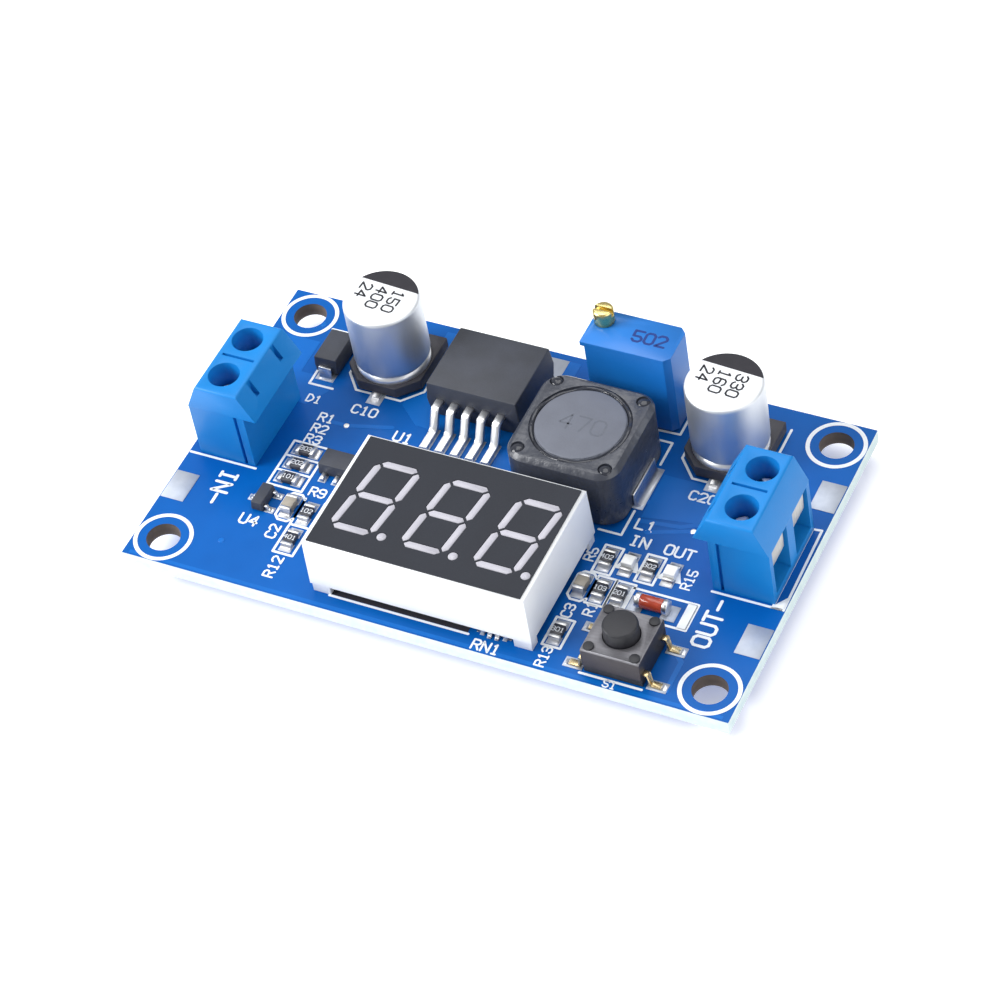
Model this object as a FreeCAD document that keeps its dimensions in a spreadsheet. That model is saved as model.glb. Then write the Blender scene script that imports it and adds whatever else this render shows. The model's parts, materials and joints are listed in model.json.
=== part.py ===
import FreeCAD, Part
import math
import os
import re
import Sketcher
from FreeCAD import Rotation, Vector

# A step-down converter board with a three-digit voltmeter. Millimetres, +Z up.
# The origin is the middle of the four mounting holes on the board's underside.
# +X points to the output terminal, and the display is on the -Y side.

SIZES = {
    # circuit board and its mounting holes
    "board_length": 65.0,
    "board_depth": 38.4,
    "board_thick": 1.6,
    "hole_inset": 3.1,
    "hole_radius": 1.75,
    "pad_thick": 0.06,
    "pin_end": -2.0,
    "lug_pad_inset": 1.4,
    "lug_pad_y": 9.5,
    "lug_pad_length": 2.6,
    "lug_pad_width": 3.7,
    # screw terminals, measured from the middle of the screws towards the wire entry
    "terminal_inset": 4.75,
    "terminal_y": 0.3,
    "pole_pitch": 5.08,
    "terminal_length": 10.16,
    "terminal_base_length": 9.96,
    "terminal_height": 10.0,
    "terminal_ledge": 6.9,
    "terminal_base_back": -2.8,
    "terminal_base_front": 3.55,
    "terminal_ledge_back": -4.25,
    "terminal_ledge_front": 3.45,
    "terminal_top_back": -2.6,
    "terminal_top_front": 2.05,
    "well_radius": 1.62,
    "entry_width": 3.6,
    "entry_floor": 0.9,
    "entry_roof": 6.7,
    "entry_back": -1.9,
    "cage_width": 3.5,
    "cage_height": 4.6,
    "cage_wall": 0.3,
    "cage_top_wall": 0.9,
    "cage_half": 1.6,
    "thread_clearance": 0.04,
    "pin_width": 1.0,
    "pin_thick": 0.7,
    "pin_hole_radius": 0.75,
    "pin_joint_radius": 1.3,
    "thin_pin_width": 0.5,
    "thin_pin_thick": 0.5,
    "thin_pin_hole_radius": 0.45,
    "thin_pin_joint_radius": 0.82,
    "joint_tall": 0.9,
    "leaf_thick": 0.3,
    "leaf_width": 2.2,
    "leaf_lip_width": 2.9,
    "leaf_lip_top": 6.5,
    "leaf_front": 3.2,
    "leaf_level": 4.0,
    "screw_radius": 1.4,
    "screw_tip_radius": 1.1,
    "screw_top": 7.25,
    "screw_slot_width": 0.5,
    "screw_slot_depth": 0.6,
    # electrolytic capacitors
    "input_capacitor_x": -17.37,
    "input_capacitor_y": 12.2,
    "output_capacitor_x": 20.0,
    "output_capacitor_y": 12.05,
    "can_radius": 3.96,
    "can_lip_radius": 3.9,
    "can_waist_radius": 3.62,
    "can_top": 10.05,
    "can_round": 0.4,
    "capacitor_base_side": 8.25,
    "capacitor_base_cut": 2.0,
    "capacitor_base_tall": 1.25,
    "capacitor_lead_tall": 0.2,
    "capacitor_lead_width": 0.9,
    "capacitor_lead_reach": 4.75,
    # switching regulator
    "regulator_x": -5.9,
    "regulator_front": 7.25,
    "regulator_back": 15.75,
    "regulator_width": 10.3,
    "regulator_top": 4.6,
    "regulator_mid": 2.45,
    "regulator_floor": 0.12,
    "regulator_draft": 5.0,
    "tab_width": 8.6,
    "tab_back": 17.1,
    "tab_front": 9.8,
    "tab_thick": 1.27,
    "lead_pitch": 1.7,
    "lead_width": 0.85,
    "lead_thick": 0.5,
    "lead_seat": 0.8,
    "lead_toe": 2.6,
    "lead_offset": -0.25,
    # inductor
    "inductor_x": 7.6,
    "inductor_y": 5.0,
    "inductor_side": 12.0,
    "inductor_corner": 2.2,
    "inductor_top": 7.2,
    "inductor_floor": 0.35,
    "inductor_bore": 5.1,
    "inductor_rim_round": 0.5,
    "core_radius": 4.62,
    "core_flange": 1.3,
    "core_post": 2.4,
    "core_foot_radius": 5.1,
    "winding_radius": 4.3,
    "dimple_place": 4.65,
    "dimple_radius": 0.7,
    "clip_width": 5.2,
    "clip_thick": 0.2,
    "clip_height": 1.7,
    "clip_reach": 2.0,
    # trimmer
    "trimmer_x": 9.17,
    "trimmer_y": 15.03,
    "trimmer_length": 9.53,
    "trimmer_depth": 4.83,
    "trimmer_top": 10.2,
    "trimmer_floor": 0.25,
    "trimmer_wall": 0.35,
    "trimmer_lip_tall": 0.55,
    "trimmer_lip_step": 0.45,
    "trimmer_edge_cut": 0.6,
    "trimmer_roof": 1.0,
    "trimmer_potting": 1.1,
    "trimmer_screw_x": -3.5,
    "trimmer_screw_y": 0.95,
    "trimmer_head_radius": 1.05,
    "trimmer_head_tall": 1.75,
    "trimmer_neck_radius": 0.6,
    "trimmer_clearance": 0.05,
    "trimmer_thread_radius": 0.45,
    "trimmer_slot_width": 0.45,
    "trimmer_slot_depth": 0.7,
    "carriage_tall": 1.1,
    "carriage_length": 1.9,
    "carriage_depth": 2.2,
    "element_thick": 0.6,
    "trimmer_pin_pitch": 2.54,
    # voltmeter display
    "display_x": 0.0,
    "display_y": -10.1,
    "display_length": 23.5,
    "display_depth": 14.5,
    "display_top": 7.4,
    "display_floor": 1.2,
    "display_draft": 1.2,
    "display_border": 0.4,
    "display_face_thick": 0.15,
    "display_foot_length": 1.9,
    "display_foot_width": 1.2,
    "display_window_depth": 1.6,
    "display_wall": 1.0,
    "display_backing": 1.0,
    "display_pin_pitch": 2.54,
    "display_pin_rows": 10.16,
    "digit_pitch": 7.6,
    "digit_first_x": -7.25,
    "digit_y": -0.1,
    "digit_half": 4.27,
    "digit_half_width": 2.1,
    "digit_lean": 0.125,
    "segment_half": 0.42,
    "segment_gap": 0.12,
    "dot_radius": 0.52,
    "dot_place": 2.75,
    # tactile switch
    "switch_offset": 8.65,
    "switch_y": -15.15,
    "switch_side": 6.0,
    "switch_top": 3.45,
    "switch_floor": 0.12,
    "switch_cover_thick": 0.2,
    "switch_skirt": 2.3,
    "switch_cavity_radius": 2.3,
    "switch_cavity_floor": 1.5,
    "switch_post_radius": 0.52,
    "switch_post_place": 2.35,
    "switch_post_top": 3.6,
    "button_radius": 1.75,
    "button_hole": 1.85,
    "button_flange": 2.15,
    "button_top": 5.05,
    "button_bottom": 1.97,
    "dome_radius": 2.1,
    "dome_height": 0.45,
    "dome_thick": 0.1,
    "switch_lead_pitch": 4.5,
    "switch_lead_width": 0.7,
    "switch_lead_thick": 0.2,
    "switch_lead_reach": 4.75,
    # power diode beside the input capacitor
    "diode_x": -23.7,
    "diode_y": 11.15,
    "diode_width": 2.6,
    "diode_length": 4.3,
    "diode_top": 2.3,
    "diode_floor": 0.2,
    "diode_lead_width": 1.45,
    "diode_lead_thick": 0.2,
    "diode_lead_reach": 2.55,
    "diode_lead_level": 1.2,
    # small glass diode
    "glass_offset": 8.8,
    "glass_y": -8.9,
    "glass_radius": 0.7,
    "glass_cap_radius": 0.75,
    "glass_length": 2.3,
    "glass_cap_length": 0.55,
    # chip resistors, capacitors, lamps, and how far out from the display's sides their pads reach
    "small_parts_reach": 10.7,
    "chip_length": 2.0,
    "chip_width": 1.2,
    "chip_tall": 0.5,
    "chip_end": 0.4,
    "chip_pad_length": 1.1,
    "chip_pad_width": 1.35,
    "chip_pad_place": 1.0,
    "chip_capacitor_tall": 0.85,
    "lamp_tall": 0.8,
    "lamp_base_tall": 0.35,
    "array_gap": 0.75,
    "array_y": -16.3,
    "array_length": 3.2,
    "array_width": 1.3,
    "array_pitch": 0.8,
    # three-lead regulator for the meter, and a small transistor
    "small_regulator_offset": 4.3,
    "small_regulator_y": -2.35,
    "small_regulator_length": 4.5,
    "small_regulator_width": 2.4,
    "small_regulator_tall": 1.45,
    "small_regulator_pitch": 1.5,
    "transistor_offset": 10.2,
    "transistor_y": -8.55,
    "transistor_length": 2.9,
    "transistor_width": 1.35,
    "transistor_tall": 1.05,
    "transistor_pitch": 1.9,
    # controller chip under the display
    "controller_x": -2.6,
    "controller_y": -10.1,
    "controller_length": 6.5,
    "controller_width": 4.4,
    "controller_tall": 0.95,
    "controller_pitch": 0.65,
}

# Places that follow from the sizes above: what sits at the board's ends moves with them, and the small parts
# keep their distance from the display's sides. The terminals never come nearer than the small parts' pads.
PLACES = {
    "hole_spacing_x": "board_length - 2 * hole_inset",
    "hole_spacing_y": "board_depth - 2 * hole_inset",
    "lug_pad_x": "board_length / 2 - lug_pad_inset",
    "display_left": "display_x - display_length / 2",
    "display_right": "display_x + display_length / 2",
    "terminal_x": "max(board_length / 2 - terminal_inset;"
                  " display_length / 2 + small_parts_reach - terminal_base_back)",
    "switch_x": "display_right + switch_offset",
    "glass_x": "display_right + glass_offset",
    "array_x": "display_right - display_foot_length - array_gap - array_length / 2",
    "small_regulator_x": "display_left - small_regulator_offset",
    "transistor_x": "display_left - transistor_offset",
}

# Middles of the chip parts on the board, and whether they lie along X.
RESISTORS = [
    ("display_left - 9.05", -1.35, True),
    ("display_left - 9.05", -3.3, True),
    ("display_left - 9.05", -5.25, True),
    ("display_left - 5.15", -8.8, False),
    ("display_left - 5.15", -12.4, False),
    ("display_right + 2.2", -4.7, False),
    ("display_right + 6.6", -4.5, False),
    ("display_right + 3.15", -8.5, False),
    ("display_right + 5.15", -8.5, False),
    ("display_right + 1.4", -14.5, False),
]
CAPACITORS = [("display_left - 7.25", -8.5, False), ("display_right + 1.2", -8.5, False)]
LAMPS = [("display_right + 4.4", -4.6, False), ("display_right + 8.8", -4.5, False)]

POLES = (-1, 1)
DISPLAY_PIN_COLUMNS = 6
LEADS = 5

doc = FreeCAD.newDocument("ConverterBoard")
sheet = doc.addObject("Spreadsheet::Sheet", "Sizes")
parts = []


def fill_sheet():
    """Write every driving dimension, and every place that follows from them, into its own named cell."""
    formulas = {alias: "=" + formula for alias, formula in PLACES.items()}
    for row, (alias, size) in enumerate({**SIZES, **formulas}.items(), start=1):
        sheet.set("A%d" % row, alias)
        sheet.set("B%d" % row, str(size))
        sheet.setAlias("B%d" % row, alias)
    doc.recompute()


def linked(text):
    """Point each size named in an expression at its cell in the sheet."""
    def cell(found):
        name = found.group(0)
        return "Sizes." + name if name in SIZES or name in PLACES else name

    return re.sub(r"[a-z][a-z_]+", cell, text)


def bind(thing, **links):
    """Bind properties to expressions; a double underscore stands for a dot."""
    for name, text in links.items():
        thing.setExpression(name.replace("__", "."), linked(str(text)))


def place(thing, x="0", y="0", z="0", turn=0):
    """Set a sub-part on the board: z is counted from the board's top face."""
    thing.Placement = FreeCAD.Placement(Vector(0, 0, 0), Rotation(Vector(0, 0, 1), turn))
    bind(thing, Placement__Base__x=x, Placement__Base__y=y, Placement__Base__z="board_thick + %s" % z)


def body(label, x="0", y="0", z="0", turn=0):
    """Start a body for one sub-part, with its name and its place."""
    new = doc.addObject("PartDesign::Body", label)
    new.Label = label
    new.AllowCompound = True
    place(new, x, y, z, turn)
    parts.append(new)
    return new


def sketch(owner, plane, offset="0"):
    """Attach a sketch to one of the body's own planes, moved along its normal."""
    new = owner.newObject("Sketcher::SketchObject", owner.Name + "_sketch")
    support = [item for item in owner.Origin.OriginFeatures if item.Role == plane][0]
    new.AttachmentSupport = [(support, "")]
    new.MapMode = "FlatFace"
    bind(new, AttachmentOffset__Base__z=offset)
    return new


def hold(drawing, geometry, point, at):
    """Tie a sketch point to its two coordinates."""
    for kind, text in zip(("DistanceX", "DistanceY"), at):
        number = drawing.addConstraint(Sketcher.Constraint(kind, -1, 1, geometry, point, 1.0))
        drawing.setExpression("Constraints[%d]" % number, linked(str(text)))


def outline(drawing, corners):
    """Draw a closed outline of straight lines through the given corners."""
    count = len(corners)
    first = drawing.GeometryCount
    angles = [2 * math.pi * k / count for k in range(count)]
    ring = [Vector(math.cos(angle), math.sin(angle), 0) for angle in angles]
    for k in range(count):
        drawing.addGeometry(Part.LineSegment(ring[k], ring[(k + 1) % count]), False)
    for k in range(count):
        drawing.addConstraint(Sketcher.Constraint("Coincident", first + k, 2, first + (k + 1) % count, 1))
        hold(drawing, first + k, 1, corners[k])


def rectangle(drawing, x, y, length, width):
    """Draw a rectangle from its middle and its two sizes."""
    left, right = "(%s) - (%s) / 2" % (x, length), "(%s) + (%s) / 2" % (x, length)
    low, high = "(%s) - (%s) / 2" % (y, width), "(%s) + (%s) / 2" % (y, width)
    outline(drawing, [(left, low), (right, low), (right, high), (left, high)])


def circle(drawing, x, y, radius):
    """Draw a circle from its middle and its radius."""
    number = drawing.addGeometry(Part.Circle(Vector(1, 1, 0), Vector(0, 0, 1), 1.0), False)
    hold(drawing, number, 3, (x, y))
    ring = drawing.addConstraint(Sketcher.Constraint("Radius", number, 1.0))
    drawing.setExpression("Constraints[%d]" % ring, linked(str(radius)))


def feature(owner, kind, drawing, length, name, both=False, back=False, taper=None):
    """Pad or pocket a sketch: both ways from its plane, or one way."""
    new = owner.newObject("PartDesign::" + kind, owner.Name + "_" + name)
    new.Profile = drawing
    new.SideType = "Symmetric" if both else "One side"
    new.Reversed = back
    bind(new, Length=length)
    if taper:
        bind(new, TaperAngle=taper)
    drawing.Visibility = False
    return new


def pad(owner, drawing, length, **options):
    return feature(owner, "Pad", drawing, length, "pad", **options)


def pocket(owner, drawing, length, **options):
    """Cut a sketch into the body, and make sure that the cut removes something."""
    doc.recompute()
    before = owner.Shape.Volume
    new = feature(owner, "Pocket", drawing, length, "pocket", **options)
    doc.recompute()
    if owner.Shape.Volume > before - 1e-6:
        raise RuntimeError(new.Label + " cuts nothing")
    return new


def turned(owner, corners):
    """Turn a half profile, given as radius and height, about the body's own Z axis."""
    drawing = sketch(owner, "XZ_Plane")
    outline(drawing, corners)
    new = owner.newObject("PartDesign::Revolution", owner.Name + "_turned")
    new.Profile = drawing
    new.ReferenceAxis = (drawing, ["V_Axis"])
    new.Angle = 360
    return new


def rounded(owner, base, radius, chosen, kind="Fillet"):
    """Round or bevel the edges of a feature that a test picks out."""
    doc.recompute()
    names = ["Edge%d" % (k + 1) for k, edge in enumerate(base.Shape.Edges) if chosen(edge)]
    if not names:
        raise RuntimeError(base.Label + " has no such edges")
    new = owner.newObject("PartDesign::" + kind, owner.Name + "_" + kind.lower())
    new.Base = (base, names)
    bind(new, **{"Radius" if kind == "Fillet" else "Size": radius})
    return new


def upright(edge):
    """Is a straight edge parallel to Z?"""
    first, last = edge.Vertexes[0].Point, edge.Vertexes[-1].Point
    return abs(first.x - last.x) < 1e-6 and abs(first.y - last.y) < 1e-6 and abs(first.z - last.z) > 1e-6


def level_at(edge, height):
    """Does an edge lie flat at a height in its body's own frame?"""
    return all(abs(point.Point.z - height) < 1e-6 for point in edge.Vertexes) and not upright(edge)


def block(label, size, middle, floor):
    """Make a plain block from its sizes, its middle and its lowest height over the board."""
    new = doc.addObject("Part::Box", label)
    bind(new, Length=size[0], Width=size[1], Height=size[2])
    bind(new, Placement__Base__x="%s - (%s) / 2" % (middle[0], size[0]))
    bind(new, Placement__Base__y="%s - (%s) / 2" % (middle[1], size[1]))
    bind(new, Placement__Base__z="board_thick + %s" % floor)
    return new


def group(label, members):
    """Gather separate like pieces into one named sub-part."""
    new = doc.addObject("Part::Compound", label)
    new.Label = label
    new.Links = members
    parts.append(new)
    return new


def sided(size, along):
    """Swap length and width where a chip lies across the board."""
    return size if along else (size[1], size[0], size[2])


def chip_ends(places):
    """Middles of both ends of each chip, at a reach along its length."""
    for x, y, along in places:
        for side in POLES:
            yield x, y, along, side


def shifted(x, y, along, reach):
    """Move a middle along the chip's length."""
    return ("%s + (%s)" % (x, reach), str(y)) if along else (str(x), "%s + (%s)" % (y, reach))


def pin_places():
    """Every through-hole pin: its middle, and the name that its sizes start with."""
    for side in POLES:
        for pole in POLES:
            yield "%d * terminal_x" % side, "terminal_y + %d * pole_pitch / 2" % pole, "pin"
    for row in POLES:
        for column in range(DISPLAY_PIN_COLUMNS):
            x = "display_x + (%s) * display_pin_pitch" % (column - (DISPLAY_PIN_COLUMNS - 1) / 2)
            yield x, "display_y + %d * display_pin_rows / 2" % row, "thin_pin"
    for column in (-1, 0, 1):
        yield "trimmer_x + %d * trimmer_pin_pitch" % column, "trimmer_y", "thin_pin"


def circuit_board():
    board = body("circuit_board", z="(-board_thick)")
    drawing = sketch(board, "XY_Plane")
    rectangle(drawing, "0", "0", "board_length", "board_depth")
    pad(board, drawing, "board_thick")
    holes = sketch(board, "XY_Plane", "board_thick")
    for side in POLES:
        for row in POLES:
            circle(holes, "%d * hole_spacing_x / 2" % side, "%d * hole_spacing_y / 2" % row, "hole_radius")
    for x, y, size in pin_places():
        circle(holes, x, y, size + "_hole_radius")
    pocket(board, holes, "board_thick")


def tinned_pads():
    """Bare solderable copper on the top face: lugs, and a pad under every lead."""
    pads = []

    def add(x, y, length, width):
        size = (str(length), str(width), "pad_thick")
        pads.append(block("pad_%d" % len(pads), size, (str(x), str(y)), "0"))

    for side in POLES:
        for row in POLES:
            add("%d * lug_pad_x" % side, "%d * lug_pad_y" % row, "lug_pad_length", "lug_pad_width")
    for k in range(LEADS):
        x = "regulator_x + lead_offset + %d * lead_pitch" % (k - LEADS // 2)
        add(x, "lead_toe + 1.35", "lead_width + 0.25", "3.3")
    add("regulator_x", "(tab_front + tab_back + 1.3) / 2", "regulator_width + 0.5",
        "tab_back + 1.3 - tab_front")
    for side in POLES:
        add("inductor_x + %d * (inductor_side / 2 - 0.4)" % side, "inductor_y", "2.8", "clip_width + 0.4")
        for name in ("input", "output"):
            middle = "%s_capacitor_y + %d * 3.85" % (name, side)
            add("%s_capacitor_x" % name, middle, "capacitor_lead_width + 0.7", "3.4")
        add("diode_x", "diode_y + %d * (diode_lead_reach - 0.35)" % side, "diode_lead_width + 0.6", "1.7")
        add("glass_x + %d * 1.75" % side, "glass_y", "1.5", "1.9")
        for row in POLES:
            middle = "switch_y + %d * switch_lead_pitch / 2" % row
            add("switch_x + %d * 4.3" % side, middle, "2.0", "switch_lead_width + 0.5")
    for x, y, along, side in chip_ends(RESISTORS + CAPACITORS + LAMPS):
        size = sided(("chip_pad_length", "chip_pad_width", ""), along)
        middle = shifted(x, y, along, "%d * chip_pad_place" % side)
        add(middle[0], middle[1], size[0], size[1])
    for k in range(-1, 2):
        middle = "small_regulator_y - small_regulator_width / 2 - 0.35"
        add("small_regulator_x + %d * small_regulator_pitch" % k, middle, "0.85", "1.3")
    add("small_regulator_x", "small_regulator_y + small_regulator_width / 2 + 0.2", "2.1", "1.2")
    for row in POLES:
        middle = "transistor_y + %d * transistor_pitch / 2" % row
        add("transistor_x + transistor_width / 2 + 0.5", middle, "1.0", "0.8")
        for k in range(4):
            x = "array_x + (%s) * array_pitch" % (k - 1.5)
            add(x, "array_y + %d * (array_width / 2 - 0.05)" % row, "0.45", "0.5")
        for k in range(10):
            x = "controller_x + (%s) * controller_pitch" % (k - 4.5)
            add(x, "controller_y + %d * 2.85" % row, "0.35", "1.3")
    add("transistor_x - transistor_width / 2 - 0.5", "transistor_y", "1.0", "0.8")
    group("tinned_pads", pads)


def solder_joints():
    """A cone of solder round every pin under the board."""
    joints = []
    for number, (x, y, size) in enumerate(pin_places()):
        cone = doc.addObject("Part::Cone", "cone_%d" % number)
        bind(cone, Radius1=size + "_joint_radius", Radius2=size + "_width * 0.8", Height="joint_tall")
        cone.Placement.Rotation = Rotation(Vector(1, 0, 0), 180)
        bind(cone, Placement__Base__x=x, Placement__Base__y=y)
        pin = block("pin_%d" % number, (size + "_thick", size + "_width", "2 * joint_tall"), (x, y),
                    "-board_thick - joint_tall")
        joint = doc.addObject("Part::Cut", "joint_%d" % number)
        joint.Base = cone
        joint.Tool = pin
        joints.append(joint)
    group("solder_joints", joints)


def terminal_housing(label, **where):
    """Moulded two-pole block: a ledge, a sloped back, screw wells and wire entries."""
    block_body = body(label, **where)
    lower = sketch(block_body, "XZ_Plane")
    outline(lower, [("terminal_base_back", "0"), ("terminal_base_front", "0"),
                    ("terminal_ledge_front", "terminal_ledge"), ("terminal_base_back", "terminal_ledge")])
    pad(block_body, lower, "terminal_base_length", both=True)
    upper = sketch(block_body, "XZ_Plane")
    outline(upper, [("terminal_ledge_back", "terminal_ledge"), ("terminal_ledge_front", "terminal_ledge"),
                    ("terminal_top_front", "terminal_height"), ("terminal_top_back", "terminal_height")])
    top = pad(block_body, upper, "terminal_length", both=True)
    height = SIZES["terminal_height"]
    rounded(block_body, top, "0.3", lambda edge: level_at(edge, height))
    wells = sketch(block_body, "XY_Plane", "terminal_height")
    for pole in POLES:
        circle(wells, "0", "%d * pole_pitch / 2" % pole, "well_radius")
    pocket(block_body, wells, "terminal_height - entry_roof")
    entries = sketch(block_body, "YZ_Plane", "terminal_base_front + 1")
    for pole in POLES:
        rectangle(entries, "%d * pole_pitch / 2" % pole, "(entry_floor + entry_roof) / 2", "entry_width",
                  "entry_roof - entry_floor")
    pocket(block_body, entries, "terminal_base_front + 1 - entry_back")
    slots = sketch(block_body, "XY_Plane", "entry_floor")
    for pole in POLES:
        rectangle(slots, "0", "%d * pole_pitch / 2" % pole, "pin_thick + 0.2", "pin_width + 0.2")
    pocket(block_body, slots, "entry_floor")
    marks = sketch(block_body, "XY_Plane", "terminal_height")
    rectangle(marks, "(terminal_top_back + terminal_top_front) / 2", "0", "3.6", "0.3")
    pocket(block_body, marks, "0.4")
    vents = sketch(block_body, "XY_Plane", "terminal_height")
    for pole in POLES:
        rectangle(vents, "terminal_top_back - 0.5", "%d * pole_pitch / 2" % pole, "0.9", "0.6")
    pocket(block_body, vents, "terminal_height - terminal_ledge - 1.1")
    notches = sketch(block_body, "XY_Plane", "terminal_ledge")
    for end in POLES:
        rectangle(notches, "terminal_base_back + 1", "%d * (terminal_base_length / 2 - 0.2)" % end, "0.36",
                  "0.42")
    pocket(block_body, notches, "terminal_ledge")


def wire_cages(label, **where):
    """Two open metal boxes with a threaded roof and a solder pin each."""
    cages = body(label, **where)
    profile = sketch(cages, "YZ_Plane")
    middle = "entry_floor + cage_height / 2"
    inner = "entry_floor + (cage_height + cage_wall - cage_top_wall) / 2"
    for pole in POLES:
        across = "%d * pole_pitch / 2" % pole
        rectangle(profile, across, middle, "cage_width", "cage_height")
        rectangle(profile, across, inner, "cage_width - 2 * cage_wall",
                  "cage_height - cage_wall - cage_top_wall")
    pad(cages, profile, "2 * cage_half", both=True)
    threads = sketch(cages, "XY_Plane", "entry_floor + cage_height")
    for pole in POLES:
        circle(threads, "0", "%d * pole_pitch / 2" % pole, "screw_radius + thread_clearance")
    pocket(cages, threads, "cage_top_wall")
    pins = sketch(cages, "XY_Plane", "entry_floor + cage_wall / 2")
    for pole in POLES:
        rectangle(pins, "0", "%d * pole_pitch / 2" % pole, "pin_thick", "pin_width")
    pad(cages, pins, "entry_floor + cage_wall / 2 + board_thick - pin_end", back=True)


def clamp_leaf(label, **where):
    """Bent steel strip under the screw: a flat foot and an upright lip in the entry."""
    leaf = body(label, **where)
    foot = sketch(leaf, "XZ_Plane")
    outline(foot, [("-cage_half", "leaf_level"), ("leaf_front - leaf_thick", "leaf_level"),
                   ("leaf_front - leaf_thick", "leaf_level + leaf_thick"),
                   ("-cage_half", "leaf_level + leaf_thick")])
    pad(leaf, foot, "leaf_width", both=True)
    lip = sketch(leaf, "XZ_Plane")
    outline(lip, [("leaf_front - 3 * leaf_thick", "leaf_level"), ("leaf_front - 0.15", "leaf_level"),
                  ("leaf_front", "leaf_level + 0.15"), ("leaf_front", "leaf_lip_top"),
                  ("leaf_front - leaf_thick", "leaf_lip_top"),
                  ("leaf_front - leaf_thick", "leaf_level + leaf_thick"),
                  ("leaf_front - 3 * leaf_thick", "leaf_level + leaf_thick")])
    pad(leaf, lip, "leaf_lip_width", both=True)


def clamp_screw(label, **where):
    """Slotted set screw: it turns in the cage's roof and presses on the leaf."""
    screw = body(label, **where)
    tip = "leaf_level + leaf_thick + 0.02"
    turned(screw, [("0", tip), ("screw_tip_radius", tip), ("screw_radius", "%s + 0.35" % tip),
                   ("screw_radius", "screw_top - 0.15"), ("screw_radius - 0.15", "screw_top"),
                   ("0", "screw_top")])
    slot = sketch(screw, "XY_Plane", "screw_top")
    rectangle(slot, "0", "0", "2 * screw_radius + 0.2", "screw_slot_width")
    pocket(screw, slot, "screw_slot_depth")


def capacitor(name):
    """Aluminium can with a beaded lip on a black base with two flat leads."""
    where = {"x": name + "_capacitor_x", "y": name + "_capacitor_y"}
    under = "pad_thick + capacitor_lead_tall"
    seat = "%s + capacitor_base_tall - 0.2" % under
    can = body(name + "_capacitor_can", **where)
    turned(can, [("0", seat), ("can_lip_radius", seat), ("can_lip_radius", "%s + 0.55" % seat),
                 ("can_waist_radius", "%s + 0.8" % seat), ("can_waist_radius", "%s + 1.05" % seat),
                 ("can_radius", "%s + 1.35" % seat), ("can_radius", "can_top - can_round"),
                 ("can_radius - 0.3 * can_round", "can_top - 0.3 * can_round"),
                 ("can_radius - can_round", "can_top"), ("0", "can_top")])
    base = body(name + "_capacitor_base", **where)
    drawing = sketch(base, "XY_Plane", under)
    half = "capacitor_base_side / 2"
    outline(drawing,
            [("-%s + capacitor_base_cut" % half, "-%s" % half),
             ("%s - capacitor_base_cut" % half, "-%s" % half),
             (half, "-%s + capacitor_base_cut" % half), (half, half),
             ("-%s" % half, half), ("-%s" % half, "-%s + capacitor_base_cut" % half)])
    pad(base, drawing, "capacitor_base_tall")
    recess = sketch(base, "XY_Plane", "%s + capacitor_base_tall" % under)
    circle(recess, "0", "0", "can_lip_radius + 0.02")
    pocket(base, recess, "0.2")
    leads = body(name + "_capacitor_leads", **where)
    strips = sketch(leads, "XY_Plane", "pad_thick")
    for side in POLES:
        rectangle(strips, "0", "%d * (capacitor_lead_reach + 0.8) / 2" % side, "capacitor_lead_width",
                  "capacitor_lead_reach - 0.8")
    pad(leads, strips, "capacitor_lead_tall")


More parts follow.
